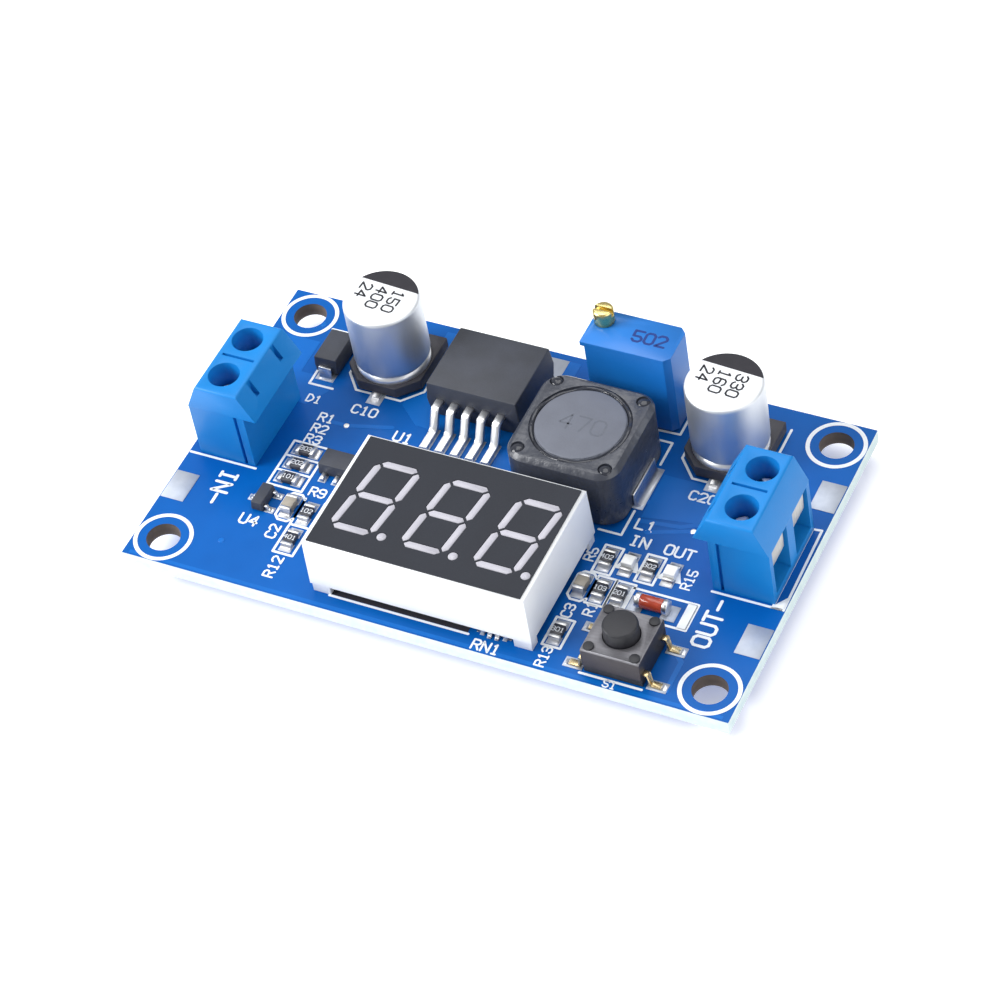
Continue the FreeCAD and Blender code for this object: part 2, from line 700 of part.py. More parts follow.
def regulator():
    """Moulded power package: drafted body, soldered metal tab and five bent leads."""
    middle = "(regulator_front + regulator_back) / 2"
    package = body("regulator_body", x="regulator_x")
    for length, back in (("regulator_top - regulator_mid", False), ("regulator_mid - regulator_floor", True)):
        drawing = sketch(package, "XY_Plane", "regulator_mid")
        rectangle(drawing, "0", middle, "regulator_width", "regulator_back - regulator_front")
        pad(package, drawing, length, back=back, taper="-regulator_draft")
    slug = sketch(package, "XY_Plane", "regulator_floor")
    rectangle(slug, "0", "(tab_front + tab_back) / 2", "tab_width", "tab_back - tab_front")
    pocket(package, slug, "tab_thick + pad_thick - regulator_floor", back=True)
    sockets = sketch(package, "XZ_Plane", "-regulator_front - lead_seat")
    for k in range(LEADS):
        rectangle(sockets, "lead_offset + %d * lead_pitch" % (k - LEADS // 2), "regulator_mid", "lead_width",
                  "lead_thick")
    pocket(package, sockets, "2 * lead_seat", back=True)
    tab = body("regulator_tab", x="regulator_x")
    drawing = sketch(tab, "XY_Plane", "pad_thick")
    half = "tab_width / 2"
    outline(drawing,
            [("-%s" % half, "tab_front"), (half, "tab_front"), (half, "tab_back - 0.8"),
             ("%s - 0.8" % half, "tab_back"),
             ("-%s + 0.8" % half, "tab_back"), ("-%s" % half, "tab_back - 0.8")])
    pad(tab, drawing, "tab_thick")
    leads = body("regulator_leads", x="regulator_x + lead_offset")
    side = sketch(leads, "YZ_Plane")
    high, low = "regulator_mid + lead_thick / 2", "regulator_mid - lead_thick / 2"
    foot = "pad_thick + lead_thick"
    outline(side, [("regulator_front + lead_seat", high), ("regulator_front - 1.05", high),
                   ("regulator_front - 1.4", "%s - 0.25" % high),
                   ("regulator_front - 2.15", "%s + 0.3" % foot),
                   ("regulator_front - 2.5", foot), ("lead_toe", foot), ("lead_toe", "pad_thick"),
                   ("regulator_front - 2.2", "pad_thick"), ("regulator_front - 1.7", "pad_thick + 0.3"),
                   ("regulator_front - 1.0", "%s - 0.25" % low), ("regulator_front - 0.75", low),
                   ("regulator_front + lead_seat", low)])
    lead = pad(leads, side, "lead_width", both=True)
    row = leads.newObject("PartDesign::LinearPattern", "regulator_lead_row")
    row.Originals = [lead]
    row.Direction = ([item for item in leads.Origin.OriginFeatures if item.Role == "X_Axis"][0], [""])
    row.Occurrences = LEADS
    bind(row, Length="%d * lead_pitch" % (LEADS - 1))
    leads.Tip = row
    bind(leads, Placement__Base__x="regulator_x + lead_offset - %d * lead_pitch" % (LEADS // 2))


def inductor():
    """Shielded inductor: square shield, drum core, winding and two clip terminals."""
    where = {"x": "inductor_x", "y": "inductor_y"}
    shield = body("inductor_shield", **where)
    drawing = sketch(shield, "XY_Plane", "inductor_floor")
    rectangle(drawing, "0", "0", "inductor_side", "inductor_side")
    solid = pad(shield, drawing, "inductor_top - inductor_floor")
    corners = rounded(shield, solid, "inductor_corner", upright)
    top = SIZES["inductor_top"]
    rounded(shield, corners, "inductor_rim_round", lambda edge: level_at(edge, top), "Chamfer")
    bore = sketch(shield, "XY_Plane", "inductor_top")
    circle(bore, "0", "0", "inductor_bore")
    pocket(shield, bore, "inductor_top - inductor_floor")
    dimples = sketch(shield, "XY_Plane", "inductor_top")
    for side in POLES:
        for row in POLES:
            circle(dimples, "%d * dimple_place" % side, "%d * dimple_place" % row, "dimple_radius")
    pocket(shield, dimples, "0.5")
    core = body("inductor_core", **where)
    turned(core, [("0", "inductor_floor"), ("core_foot_radius", "inductor_floor"),
                  ("core_foot_radius", "inductor_floor + core_flange"),
                  ("core_post", "inductor_floor + core_flange"),
                  ("core_post", "inductor_top - core_flange"), ("core_radius", "inductor_top - core_flange"),
                  ("core_radius", "inductor_top - 0.15"), ("core_radius - 0.15", "inductor_top"),
                  ("0", "inductor_top")])
    winding = body("inductor_winding", **where)
    low, high = "inductor_floor + core_flange", "inductor_top - core_flange"
    turned(winding,
           [("core_post", low), ("winding_radius", low), ("winding_radius", high), ("core_post", high)])
    clips = body("inductor_terminals", **where)
    profile = sketch(clips, "XZ_Plane")
    for side in POLES:
        wall, out = "%d * inductor_side / 2" % side, "%d * (inductor_side / 2 + clip_thick)" % side
        inner = "%d * (inductor_side / 2 - clip_reach)" % side
        outline(profile,
                [(inner, "inductor_floor"), (wall, "inductor_floor"), (wall, "clip_height"),
                 (out, "clip_height"),
                 (out, "pad_thick"), (inner, "pad_thick")])
    pad(clips, profile, "clip_width", both=True)


def trimmer():
    """Multi-turn trimmer: moulded case, brass screw, and the carriage it drives."""
    where = {"x": "trimmer_x", "y": "trimmer_y"}
    half_x, half_y = "trimmer_length / 2", "trimmer_depth / 2"
    case = body("trimmer_housing", **where)
    drawing = sketch(case, "XZ_Plane")
    outline(drawing,
            [("-%s + trimmer_lip_step" % half_x, "trimmer_floor"), (half_x, "trimmer_floor"),
             (half_x, "trimmer_top"),
             ("-%s" % half_x, "trimmer_top"), ("-%s" % half_x, "trimmer_top - trimmer_lip_tall"),
             ("-%s + trimmer_lip_step" % half_x, "trimmer_top - trimmer_lip_tall")])
    solid = pad(case, drawing, "trimmer_depth", both=True)
    right = SIZES["trimmer_length"] / 2
    rounded(case, solid, "trimmer_edge_cut",
            lambda edge: upright(edge) and edge.Vertexes[0].Point.x > right - 1e-3, "Chamfer")
    cavity = sketch(case, "XY_Plane", "trimmer_floor")
    rectangle(cavity, "trimmer_lip_step / 2", "0", "trimmer_length - trimmer_lip_step - 2 * trimmer_wall",
              "trimmer_depth - 2 * trimmer_wall")
    pocket(case, cavity, "trimmer_top - trimmer_roof - trimmer_floor", back=True)
    bore = sketch(case, "XY_Plane", "trimmer_top")
    circle(bore, "trimmer_screw_x", "trimmer_screw_y", "trimmer_neck_radius + trimmer_clearance")
    pocket(case, bore, "trimmer_roof")
    plug = body("trimmer_potting", **where)
    drawing = sketch(plug, "XY_Plane", "trimmer_floor")
    rectangle(drawing, "trimmer_lip_step / 2", "0", "trimmer_length - trimmer_lip_step - 2 * trimmer_wall",
              "trimmer_depth - 2 * trimmer_wall")
    for column in (-1, 0, 1):
        rectangle(drawing, "%d * trimmer_pin_pitch" % column, "0", "thin_pin_thick", "thin_pin_width")
    pad(plug, drawing, "trimmer_potting")
    screw = body("trimmer_screw", x="trimmer_x + trimmer_screw_x", y="trimmer_y + trimmer_screw_y")
    above = "trimmer_top + 0.05"
    below = "trimmer_top - trimmer_roof"
    foot = "trimmer_floor + trimmer_potting + 0.1"
    top = "trimmer_top + trimmer_head_tall"
    turned(screw, [("0", foot), ("trimmer_thread_radius", foot), ("trimmer_thread_radius", below),
                   ("trimmer_neck_radius", below), ("trimmer_neck_radius", above),
                   ("trimmer_head_radius", above),
                   ("trimmer_head_radius", "%s - 0.15" % top), ("trimmer_head_radius - 0.15", top),
                   ("0", top)])
    slot = sketch(screw, "XY_Plane", "trimmer_top + trimmer_head_tall")
    rectangle(slot, "0", "0", "2 * trimmer_head_radius + 0.2", "trimmer_slot_width")
    pocket(screw, slot, "trimmer_slot_depth")
    carriage = body("trimmer_carriage", **where)
    level = "(trimmer_floor + trimmer_potting + trimmer_top - trimmer_roof - carriage_tall) / 2"
    drawing = sketch(carriage, "XY_Plane", level)
    rectangle(drawing, "trimmer_screw_x + 0.1 + carriage_length / 2", "trimmer_screw_y - 0.3",
              "carriage_length", "carriage_depth")
    pad(carriage, drawing, "carriage_tall")
    bite = sketch(carriage, "XY_Plane", "%s + carriage_tall" % level)
    circle(bite, "trimmer_screw_x", "trimmer_screw_y", "trimmer_thread_radius + trimmer_clearance")
    pocket(carriage, bite, "carriage_tall")
    element = body("trimmer_element", **where)
    drawing = sketch(element, "XY_Plane", "trimmer_floor + trimmer_potting")
    rectangle(drawing, "trimmer_lip_step / 2", "-trimmer_depth / 2 + trimmer_wall + element_thick / 2",
              "trimmer_length - trimmer_lip_step - 2 * trimmer_wall", "element_thick")
    pad(element, drawing, "trimmer_top - trimmer_roof - trimmer_floor - trimmer_potting")
    pins = body("trimmer_pins", **where)
    drawing = sketch(pins, "XY_Plane", "trimmer_floor + trimmer_potting")
    for column in (-1, 0, 1):
        rectangle(drawing, "%d * trimmer_pin_pitch" % column, "0", "thin_pin_thick", "thin_pin_width")
    pad(pins, drawing, "trimmer_floor + trimmer_potting + board_thick - pin_end", back=True)


def leaned(x, y):
    """A point of a digit, leaned over as the digits are."""
    return "digit_first_x + (%s) + digit_lean * (%s)" % (x, y), "digit_y + (%s)" % y


def draw_digit(drawing):
    """Seven pointed bars and a dot, for the first digit."""
    wide, tall, thick, gap = "digit_half_width", "digit_half", "segment_half", "segment_gap"
    for level in (-1, 0, 1):
        y = "%d * %s" % (level, tall)
        left, right = "-%s + %s" % (wide, gap), "%s - %s" % (wide, gap)
        outline(drawing, [leaned(left, y), leaned("%s + %s" % (left, thick), "%s + %s" % (y, thick)),
                          leaned("%s - %s" % (right, thick), "%s + %s" % (y, thick)), leaned(right, y),
                          leaned("%s - %s" % (right, thick), "%s - %s" % (y, thick)),
                          leaned("%s + %s" % (left, thick), "%s - %s" % (y, thick))])
    for side in POLES:
        for level in (-1, 0):
            x = "%d * %s" % (side, wide)
            low, high = "%d * %s + %s" % (level, tall, gap), "%d * %s - %s" % (level + 1, tall, gap)
            outline(drawing, [leaned(x, low), leaned("%s + %s" % (x, thick), "%s + %s" % (low, thick)),
                              leaned("%s + %s" % (x, thick), "%s - %s" % (high, thick)), leaned(x, high),
                              leaned("%s - %s" % (x, thick), "%s - %s" % (high, thick)),
                              leaned("%s - %s" % (x, thick), "%s + %s" % (low, thick))])
    circle(drawing, "digit_first_x + dot_place", "digit_y - digit_half", "dot_radius")


def repeat_digits(owner, original, name):
    """Repeat the first digit's cut or fill at the digit pitch."""
    row = owner.newObject("PartDesign::LinearPattern", name)
    row.Originals = [original]
    row.Direction = ([item for item in owner.Origin.OriginFeatures if item.Role == "X_Axis"][0], [""])
    row.Occurrences = 3
    bind(row, Length="2 * digit_pitch")
    owner.Tip = row


def display():
    """Three-digit display: reflector housing on four feet, mask, bars, backing and pins."""
    where = {"x": "display_x", "y": "display_y"}
    housing = body("display_housing", **where)
    drawing = sketch(housing, "XY_Plane", "display_top - display_face_thick")
    rectangle(drawing, "0", "0", "display_length", "display_depth")
    pad(housing, drawing, "display_top - display_face_thick - display_floor", back=True,
        taper="display_draft")
    feet = sketch(housing, "XY_Plane", "display_floor")
    for side in POLES:
        for row in POLES:
            rectangle(feet, "%d * (display_length - display_foot_length) / 2" % side,
                      "%d * (display_depth - display_foot_width) / 2" % row, "display_foot_length",
                      "display_foot_width")
    pad(housing, feet, "display_floor", back=True)
    recess = sketch(housing, "XY_Plane", "display_floor")
    rectangle(recess, "0", "0", "display_length - 2 * display_wall", "display_depth - 2 * display_wall")
    pocket(housing, recess, "display_backing", back=True)
    windows = sketch(housing, "XY_Plane", "display_top - display_face_thick")
    draw_digit(windows)
    cut = pocket(housing, windows, "display_window_depth")
    repeat_digits(housing, cut, "housing_digits")
    face = body("display_face", **where)
    drawing = sketch(face, "XY_Plane", "display_top - display_face_thick")
    rectangle(drawing, "0", "0", "display_length - 2 * display_border", "display_depth - display_border")
    pad(face, drawing, "display_face_thick")
    windows = sketch(face, "XY_Plane", "display_top")
    draw_digit(windows)
    cut = pocket(face, windows, "display_face_thick")
    repeat_digits(face, cut, "face_digits")
    bars = body("display_segments", **where)
    drawing = sketch(bars, "XY_Plane", "display_top")
    draw_digit(drawing)
    fill = pad(bars, drawing, "display_window_depth + display_face_thick", back=True)
    repeat_digits(bars, fill, "segment_digits")
    backing = body("display_backing", **where)
    drawing = sketch(backing, "XY_Plane", "display_floor")
    rectangle(drawing, "0", "0", "display_length - 2 * display_wall", "display_depth - 2 * display_wall")
    pad(backing, drawing, "display_backing")
    pins = body("display_pins", **where)
    drawing = sketch(pins, "XY_Plane", "display_floor")
    for row in POLES:
        for column in range(DISPLAY_PIN_COLUMNS):
            x = "(%s) * display_pin_pitch" % (column - (DISPLAY_PIN_COLUMNS - 1) / 2)
            rectangle(drawing, x, "%d * display_pin_rows / 2" % row, "thin_pin_thick", "thin_pin_width")
    pad(pins, drawing, "display_floor + board_thick - pin_end", back=True)


def tactile_switch():
    """Press switch: moulded base, steel cover, round button, snap dome and four leads."""
    where = {"x": "switch_x", "y": "switch_y"}
    base = body("switch_base", **where)
    drawing = sketch(base, "XY_Plane", "switch_floor")
    side = "switch_side - 2 * switch_cover_thick"
    rectangle(drawing, "0", "0", "switch_side", side)
    pad(base, drawing, "switch_top - switch_cover_thick - switch_floor")
    posts = sketch(base, "XY_Plane", "switch_top - switch_cover_thick")
    for column in POLES:
        for row in POLES:
            circle(posts, "%d * switch_post_place" % column, "%d * switch_post_place" % row,
                   "switch_post_radius")
    pad(base, posts, "switch_post_top - switch_top + switch_cover_thick")
    cavity = sketch(base, "XY_Plane", "switch_top - switch_cover_thick")
    circle(cavity, "0", "0", "switch_cavity_radius")
    pocket(base, cavity, "switch_top - switch_cover_thick - switch_cavity_floor")
    cover = body("switch_cover", **where)
    profile = sketch(cover, "YZ_Plane")
    out, inner = "switch_side / 2", "switch_side / 2 - switch_cover_thick"
    under, skirt = "switch_top - switch_cover_thick", "switch_top - switch_skirt"
    outline(profile,
            [("-%s" % out, skirt), ("-(%s)" % inner, skirt), ("-(%s)" % inner, under), (inner, under),
             (inner, skirt),
             (out, skirt), (out, "switch_top - 0.15"), ("%s - 0.15" % out, "switch_top"),
             ("-%s + 0.15" % out, "switch_top"), ("-%s" % out, "switch_top - 0.15")])
    pad(cover, profile, "switch_side", both=True)
    holes = sketch(cover, "XY_Plane", "switch_top")
    circle(holes, "0", "0", "button_hole")
    for column in POLES:
        for row in POLES:
            circle(holes, "%d * switch_post_place" % column, "%d * switch_post_place" % row,
                   "switch_post_radius")
    pocket(cover, holes, "switch_cover_thick")
    button = body("switch_button", **where)
    shoulder = "switch_top - switch_cover_thick - 0.02"
    turned(button, [("0", "button_bottom"), ("0.8", "button_bottom"), ("0.8", "button_bottom + 0.35"),
                    ("button_flange", "button_bottom + 0.35"), ("button_flange", shoulder),
                    ("button_radius", shoulder),
                    ("button_radius", "button_top - 0.15"), ("button_radius - 0.15", "button_top"),
                    ("0", "button_top")])
    dome = body("switch_dome", **where)
    rest = "switch_cavity_floor"
    turned(dome, [("dome_radius", rest), ("0.7 * dome_radius", "%s + 0.55 * dome_height" % rest),
                  ("0.3 * dome_radius", "%s + 0.95 * dome_height" % rest), ("0", "%s + dome_height" % rest),
                  ("0", "%s + dome_height - dome_thick" % rest),
                  ("0.3 * dome_radius", "%s + 0.95 * dome_height - dome_thick" % rest),
                  ("0.7 * dome_radius", "%s + 0.55 * dome_height - dome_thick" % rest),
                  ("dome_radius - 0.15", rest)])
    leads = body("switch_leads", **where)
    for row in POLES:
        drawing = sketch(leads, "XZ_Plane", "%d * switch_lead_pitch / 2" % row)
        for column in POLES:
            wall, knee = "%d * switch_side / 2" % column, "%d * (switch_side / 2 + 0.55)" % column
            drop, toe = "%d * (switch_side / 2 + 0.75)" % column, "%d * switch_lead_reach" % column
            inside = "%d * (switch_side / 2 + 0.55 - switch_lead_thick)" % column
            heel = "%d * (switch_side / 2 + 0.75 - switch_lead_thick)" % column
            outline(drawing, [(wall, "1.45"), (inside, "1.45"), (heel, "pad_thick"), (toe, "pad_thick"),
                              (toe, "pad_thick + switch_lead_thick"), (drop, "pad_thick + switch_lead_thick"),
                              (knee, "1.45 + switch_lead_thick"), (wall, "1.45 + switch_lead_thick")])
        pad(leads, drawing, "switch_lead_width", both=True)


def power_diode():
    """Moulded diode with two strip leads folded under its ends."""
    where = {"x": "diode_x", "y": "diode_y"}
    package = body("input_diode_body", **where)
    for length, back in (("diode_top - diode_lead_level", False), ("diode_lead_level - diode_floor", True)):
        drawing = sketch(package, "XY_Plane", "diode_lead_level")
        rectangle(drawing, "0", "0", "diode_width", "diode_length")
        pad(package, drawing, length, back=back, taper="-4")
    leads = body("input_diode_leads", **where)
    profile = sketch(leads, "YZ_Plane")
    for side in POLES:
        wall, out = "%d * diode_length / 2" % side, "%d * diode_lead_reach" % side
        inner = "%d * (diode_lead_reach - diode_lead_thick)" % side
        under = "%d * (diode_lead_reach - 1.2)" % side
        top = "diode_lead_level + diode_lead_thick / 2"
        outline(profile,
                [(wall, top), ("%d * (diode_lead_reach - 0.1)" % side, top), (out, "%s - 0.15" % top),
                 (out, "pad_thick"), (under, "pad_thick"), (under, "diode_floor - 0.01"),
                 (inner, "diode_floor - 0.01"), (inner, "%s - diode_lead_thick" % top),
                 (wall, "%s - diode_lead_thick" % top)])
    pad(leads, profile, "diode_lead_width", both=True)


def glass_diode():
    """Glass tube with a metal cap on each end, lying along X."""
    def rod(label, radius, length, x):
        new = doc.addObject("Part::Cylinder", label)
        new.Placement.Rotation = Rotation(Vector(0, 1, 0), 90)
        bind(new, Radius=radius, Height=length, Placement__Base__x="glass_x + (%s)" % x,
             Placement__Base__y="glass_y",
             Placement__Base__z="board_thick + pad_thick + glass_cap_radius")
        return new

    tube = rod("glass_diode_body", "glass_radius", "glass_length", "-glass_length / 2")
    tube.Label = "glass_diode_body"
    parts.append(tube)
    group("glass_diode_caps",
          [rod("left_cap", "glass_cap_radius", "glass_cap_length", "-glass_length / 2 - glass_cap_length"),
           rod("right_cap", "glass_cap_radius", "glass_cap_length", "glass_length / 2")])


def chips(label, places, tall):
    """Chip parts: a middle block and a plated cap on each end."""
    middles, ends = [], []
    for number, (x, y, along) in enumerate(places):
        size = sided(("chip_length - 2 * chip_end", "chip_width", tall), along)
        middles.append(block("%s_%d" % (label, number), size, (str(x), str(y)), "pad_thick"))
        for side in POLES:
            size = sided(("chip_end", "chip_width", tall), along)
            middle = shifted(x, y, along, "%d * (chip_length - chip_end) / 2" % side)
            ends.append(block("%s_%d_end" % (label, number), size, middle, "pad_thick"))
    return middles, ends


def chip_parts():
    """Ten chip resistors with a four-way array, and the chip capacitors."""
    middles, ends = chips("resistor", RESISTORS, "chip_tall")
    middles.append(block("array", ("array_length", "array_width - 0.5", "chip_tall"), ("array_x", "array_y"),
                         "pad_thick"))
    for row in POLES:
        for k in range(4):
            place_of = ("array_x + (%s) * array_pitch" % (k - 1.5),
                        "array_y + %d * (array_width - 0.25) / 2" % row)
            ends.append(block("array_end", ("0.45", "0.25", "chip_tall"), place_of, "pad_thick"))
    group("resistor_bodies", middles)
    group("resistor_ends", ends)
    middles, ends = chips("capacitor", CAPACITORS, "chip_capacitor_tall")
    group("chip_capacitor_bodies", middles)
    group("chip_capacitor_ends", ends)


def lamps():
    """Two indicator lamps: a clear lens block over plated ends."""
    lenses, ends = [], []
    for number, (x, y, along) in enumerate(LAMPS):
        size = sided(("chip_length - 2 * chip_end", "chip_width", "lamp_tall"), along)
        lenses.append(block("lamp_%d" % number, size, (str(x), str(y)), "pad_thick"))
        for side in POLES:
            size = sided(("chip_end", "chip_width", "lamp_base_tall"), along)
            middle = shifted(x, y, along, "%d * (chip_length - chip_end) / 2" % side)
            ends.append(block("lamp_%d_end" % number, size, middle, "pad_thick"))
    group("indicator_lamps", lenses)
    group("indicator_lamp_ends", ends)


def small_packages():
    """The meter's own regulator, a small transistor and the controller chip."""
    where = {"x": "small_regulator_x", "y": "small_regulator_y"}
    package = body("small_regulator_body", **where)
    drawing = sketch(package, "XY_Plane", "pad_thick")
    rectangle(drawing, "0", "0", "small_regulator_length", "small_regulator_width")
    pad(package, drawing, "small_regulator_tall", taper="-4")
    leads = body("small_regulator_leads", **where)
    drawing = sketch(leads, "XY_Plane", "pad_thick")
    for k in range(-1, 2):
        rectangle(drawing, "%d * small_regulator_pitch" % k, "-small_regulator_width / 2 - 0.45", "0.45",
                  "0.9")
    rectangle(drawing, "0", "small_regulator_width / 2 + 0.3", "1.6", "0.6")
    pad(leads, drawing, "0.38")
    where = {"x": "transistor_x", "y": "transistor_y"}
    package = body("small_transistor_body", **where)
    drawing = sketch(package, "XY_Plane", "pad_thick + 0.05")
    rectangle(drawing, "0", "0", "transistor_width", "transistor_length")
    pad(package, drawing, "transistor_tall", taper="-5")
    leads = body("small_transistor_leads", **where)
    for column, rows in ((1, POLES), (-1, (0,))):
        for row in rows:
            drawing = sketch(leads, "XZ_Plane", "-(%d) * transistor_pitch / 2" % row)
            wall = "%d * (transistor_width / 2 - 0.02)" % column
            reach = ["%d * (transistor_width / 2 + %s)" % (column, step) for step in ("0.2", "0.3", "0.65")]
            outline(drawing,
                    [(wall, "0.45"), (reach[0], "0.45"), (reach[1], "pad_thick"), (reach[2], "pad_thick"),
                     (reach[2], "pad_thick + 0.13"),
                     ("%s + %d * 0.13" % (reach[1], column), "pad_thick + 0.13"),
                     ("%s + %d * 0.13" % (reach[0], column), "0.6"), (wall, "0.6")])
            pad(leads, drawing, "0.42", both=True)
    where = {"x": "controller_x", "y": "controller_y"}
    package = body("controller_body", **where)
    drawing = sketch(package, "XY_Plane", "pad_thick + 0.05")
    rectangle(drawing, "0", "0", "controller_length", "controller_width")
    pad(package, drawing, "controller_tall - 0.05")
    leads = body("controller_leads", **where)
    drawing = sketch(leads, "YZ_Plane")
    for row in POLES:
        wall = "%d * controller_width / 2" % row
        reach = ["%d * (controller_width / 2 + %s)" % (row, step) for step in ("0.15", "0.3", "0.95")]
        outline(drawing,
                [(wall, "0.45"), (reach[0], "0.45"), (reach[1], "pad_thick"), (reach[2], "pad_thick"),
                 (reach[2], "pad_thick + 0.13"),
                 ("%s + %d * 0.13" % (reach[1], row), "pad_thick + 0.13"),
                 ("%s + %d * 0.13" % (reach[0], row), "0.6"), (wall, "0.6")])
    pair = pad(leads, drawing, "0.22", both=True)
    row = leads.newObject("PartDesign::LinearPattern", "controller_lead_row")
    row.Originals = [pair]
    row.Direction = ([item for item in leads.Origin.OriginFeatures if item.Role == "X_Axis"][0], [""])
    row.Occurrences = 10
    bind(row, Length="9 * controller_pitch")
    leads.Tip = row
    bind(leads, Placement__Base__x="controller_x - 4.5 * controller_pitch")


def terminals():
    """Both terminal blocks; the input one is turned round so that its entries face -X."""
    for name, side, turn in (("input", -1, 180), ("output", 1, 0)):
        where = {"x": "%d * terminal_x" % side, "y": "terminal_y", "turn": turn}
        terminal_housing(name + "_terminal_housing", **where)
        wire_cages(name + "_wire_cages", **where)
        for number, pole in enumerate(POLES, start=1):
            at = {"x": "%d * terminal_x" % side, "y": "terminal_y + %d * pole_pitch / 2" % pole}
            clamp_leaf("%s_clamp_leaf_%d" % (name, number), turn=turn, **at)
            clamp_screw("%s_clamp_screw_%d" % (name, number), turn=35 + 50 * number + turn, **at)


def check_document():
    """Stop on any failed object or unsound shape, before anything is written."""
    for item in doc.Objects:
        if "Invalid" in item.State or "Error" in item.State:
            raise RuntimeError(item.Label + " failed: " + str(item.State))
    for item in parts:
        if item.Shape.isNull() or not item.Shape.isValid():
            raise RuntimeError(item.Label + " has no sound shape")


fill_sheet()
circuit_board()
tinned_pads()
solder_joints()
terminals()
capacitor("input")
capacitor("output")
regulator()
inductor()
trimmer()
display()
tactile_switch()
power_diode()
glass_diode()
chip_parts()
lamps()
small_packages()
doc.recompute()
check_document()
os.makedirs("parts", exist_ok=True)
for item in parts:
    item.Shape.exportStep(os.path.join("parts", item.Label + ".step"))
    print(item.Label, len(item.Shape.Solids), round(item.Shape.Volume, 3))
print(len(parts), "sub-parts")
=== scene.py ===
"""Finishes, print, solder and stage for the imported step-down converter module."""

import json
import math

import bmesh
import bpy
from bpy.props import FloatProperty, FloatVectorProperty, IntProperty, PointerProperty
from mathutils import Matrix, Vector

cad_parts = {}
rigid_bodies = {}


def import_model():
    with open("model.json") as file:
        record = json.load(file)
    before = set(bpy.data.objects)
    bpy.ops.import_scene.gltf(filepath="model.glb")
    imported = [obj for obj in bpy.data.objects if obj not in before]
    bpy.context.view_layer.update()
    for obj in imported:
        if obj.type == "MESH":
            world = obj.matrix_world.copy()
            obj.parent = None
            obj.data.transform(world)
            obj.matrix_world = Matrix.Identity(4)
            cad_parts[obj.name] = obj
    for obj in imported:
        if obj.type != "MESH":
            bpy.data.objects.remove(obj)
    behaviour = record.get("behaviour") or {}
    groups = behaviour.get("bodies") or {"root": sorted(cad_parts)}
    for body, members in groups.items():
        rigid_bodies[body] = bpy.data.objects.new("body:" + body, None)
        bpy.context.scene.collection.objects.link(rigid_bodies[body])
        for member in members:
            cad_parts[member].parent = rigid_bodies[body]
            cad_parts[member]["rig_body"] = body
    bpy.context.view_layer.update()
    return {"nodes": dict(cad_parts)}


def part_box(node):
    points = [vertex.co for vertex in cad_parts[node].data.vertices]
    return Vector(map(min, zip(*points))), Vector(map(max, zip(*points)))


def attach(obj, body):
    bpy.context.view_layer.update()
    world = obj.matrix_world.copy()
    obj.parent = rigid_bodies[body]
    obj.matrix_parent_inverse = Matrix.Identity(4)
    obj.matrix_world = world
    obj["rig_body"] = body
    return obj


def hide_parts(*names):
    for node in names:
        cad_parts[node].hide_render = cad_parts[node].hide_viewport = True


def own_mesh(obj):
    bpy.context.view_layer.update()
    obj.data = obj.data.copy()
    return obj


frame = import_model()

bl_info = {
    "name": "Converter module",
    "version": (1, 0, 0),
    "blender": (4, 5, 0),
    "location": "3D View > Sidebar > Converter",
    "description": "Dresses a packed step-down converter board with a three-digit voltmeter",
    "category": "Object",
}

# Lengths in this file are millimetres in the board's frame, and become metres where a mesh is made.
MM = 0.001
# Points of a mesh that lie nearer than this are one.
WELD = 0.0005
# Faces that meet at less than so many degrees are one face, and edges from so many degrees on are rounded.
FLAT_ANGLE, ROUND_ANGLE = 0.5, 32
# The wave texture draws this many bands in a unit of length at scale 1.
WAVE_BANDS = 20 / (2 * math.pi)
BOARD_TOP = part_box("circuit_board")[1].z / MM
PAD_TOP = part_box("tinned_pads")[1].z / MM
CASE_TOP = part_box("trimmer_housing")[1].z / MM

# Distance of the mounting holes from the board's middle, and how near to the board's outline a face has to
# lie to be its cut edge.
HOLE_X, HOLE_Y = 29.4, 16.1
CUT_BAND = 0.1

# The camera, fitted to the photograph: its place, its turn in degrees, its sensor, and how near and how far
# it sees, in metres.
CAMERA_PLACE = (124.27, -188.26, 246.82)
CAMERA_TURN = (41.912, 7.5513, 25.0973)
SENSOR_WIDTH = 36
SIGHT_NEAR, SIGHT_FAR = 0.01, 10

# The stage: place and size of each light, and the floor's side and thickness.
LIGHTS = [("key", (-330, -190, 250), 260), ("fill", (330, -60, 210), 300), ("top", (-40, 150, 430), 340)]
FLOOR_SIDE, FLOOR_THICK = 1600, 2

# Each sign is drawn with a plotter's straight strokes on a grid four wide and six tall.
# A stroke is a row of grid points, each given as its column and its row.
SIGNS = {
    "0": "10-30-41-45-36-16-05-01-10", "1": "15-26-20 10-30", "2": "05-16-36-45-44-00-40",
    "3": "05-16-36-45-44-33-13 33-42-41-30-10-01", "4": "30-36-02-42", "5": "46-06-03-33-42-41-30-10-01",
    "6": "45-36-16-05-01-10-30-41-42-33-03", "7": "06-46-20",
    "8": "10-30-41-42-33-13-02-01-10 13-04-05-16-36-45-44-33", "9": "01-10-30-41-45-36-16-05-04-13-43",
    "C": "41-30-10-01-05-16-36-45", "D": "00-06-26-44-42-20-00", "I": "10-30 20-26 16-36",
    "L": "06-00-40", "N": "00-06-40-46", "O": "10-30-41-45-36-16-05-01-10",
    "R": "00-06-36-45-44-33-03 23-40", "S": "45-36-16-05-04-13-33-42-41-30-10-01",
    "T": "06-46 20-26", "U": "06-01-10-30-41-46", "+": "03-43 21-25", "-": "03-43",
}
SIGN_WIDE, SIGN_TALL, SIGN_STEP = 4, 6, 5.4

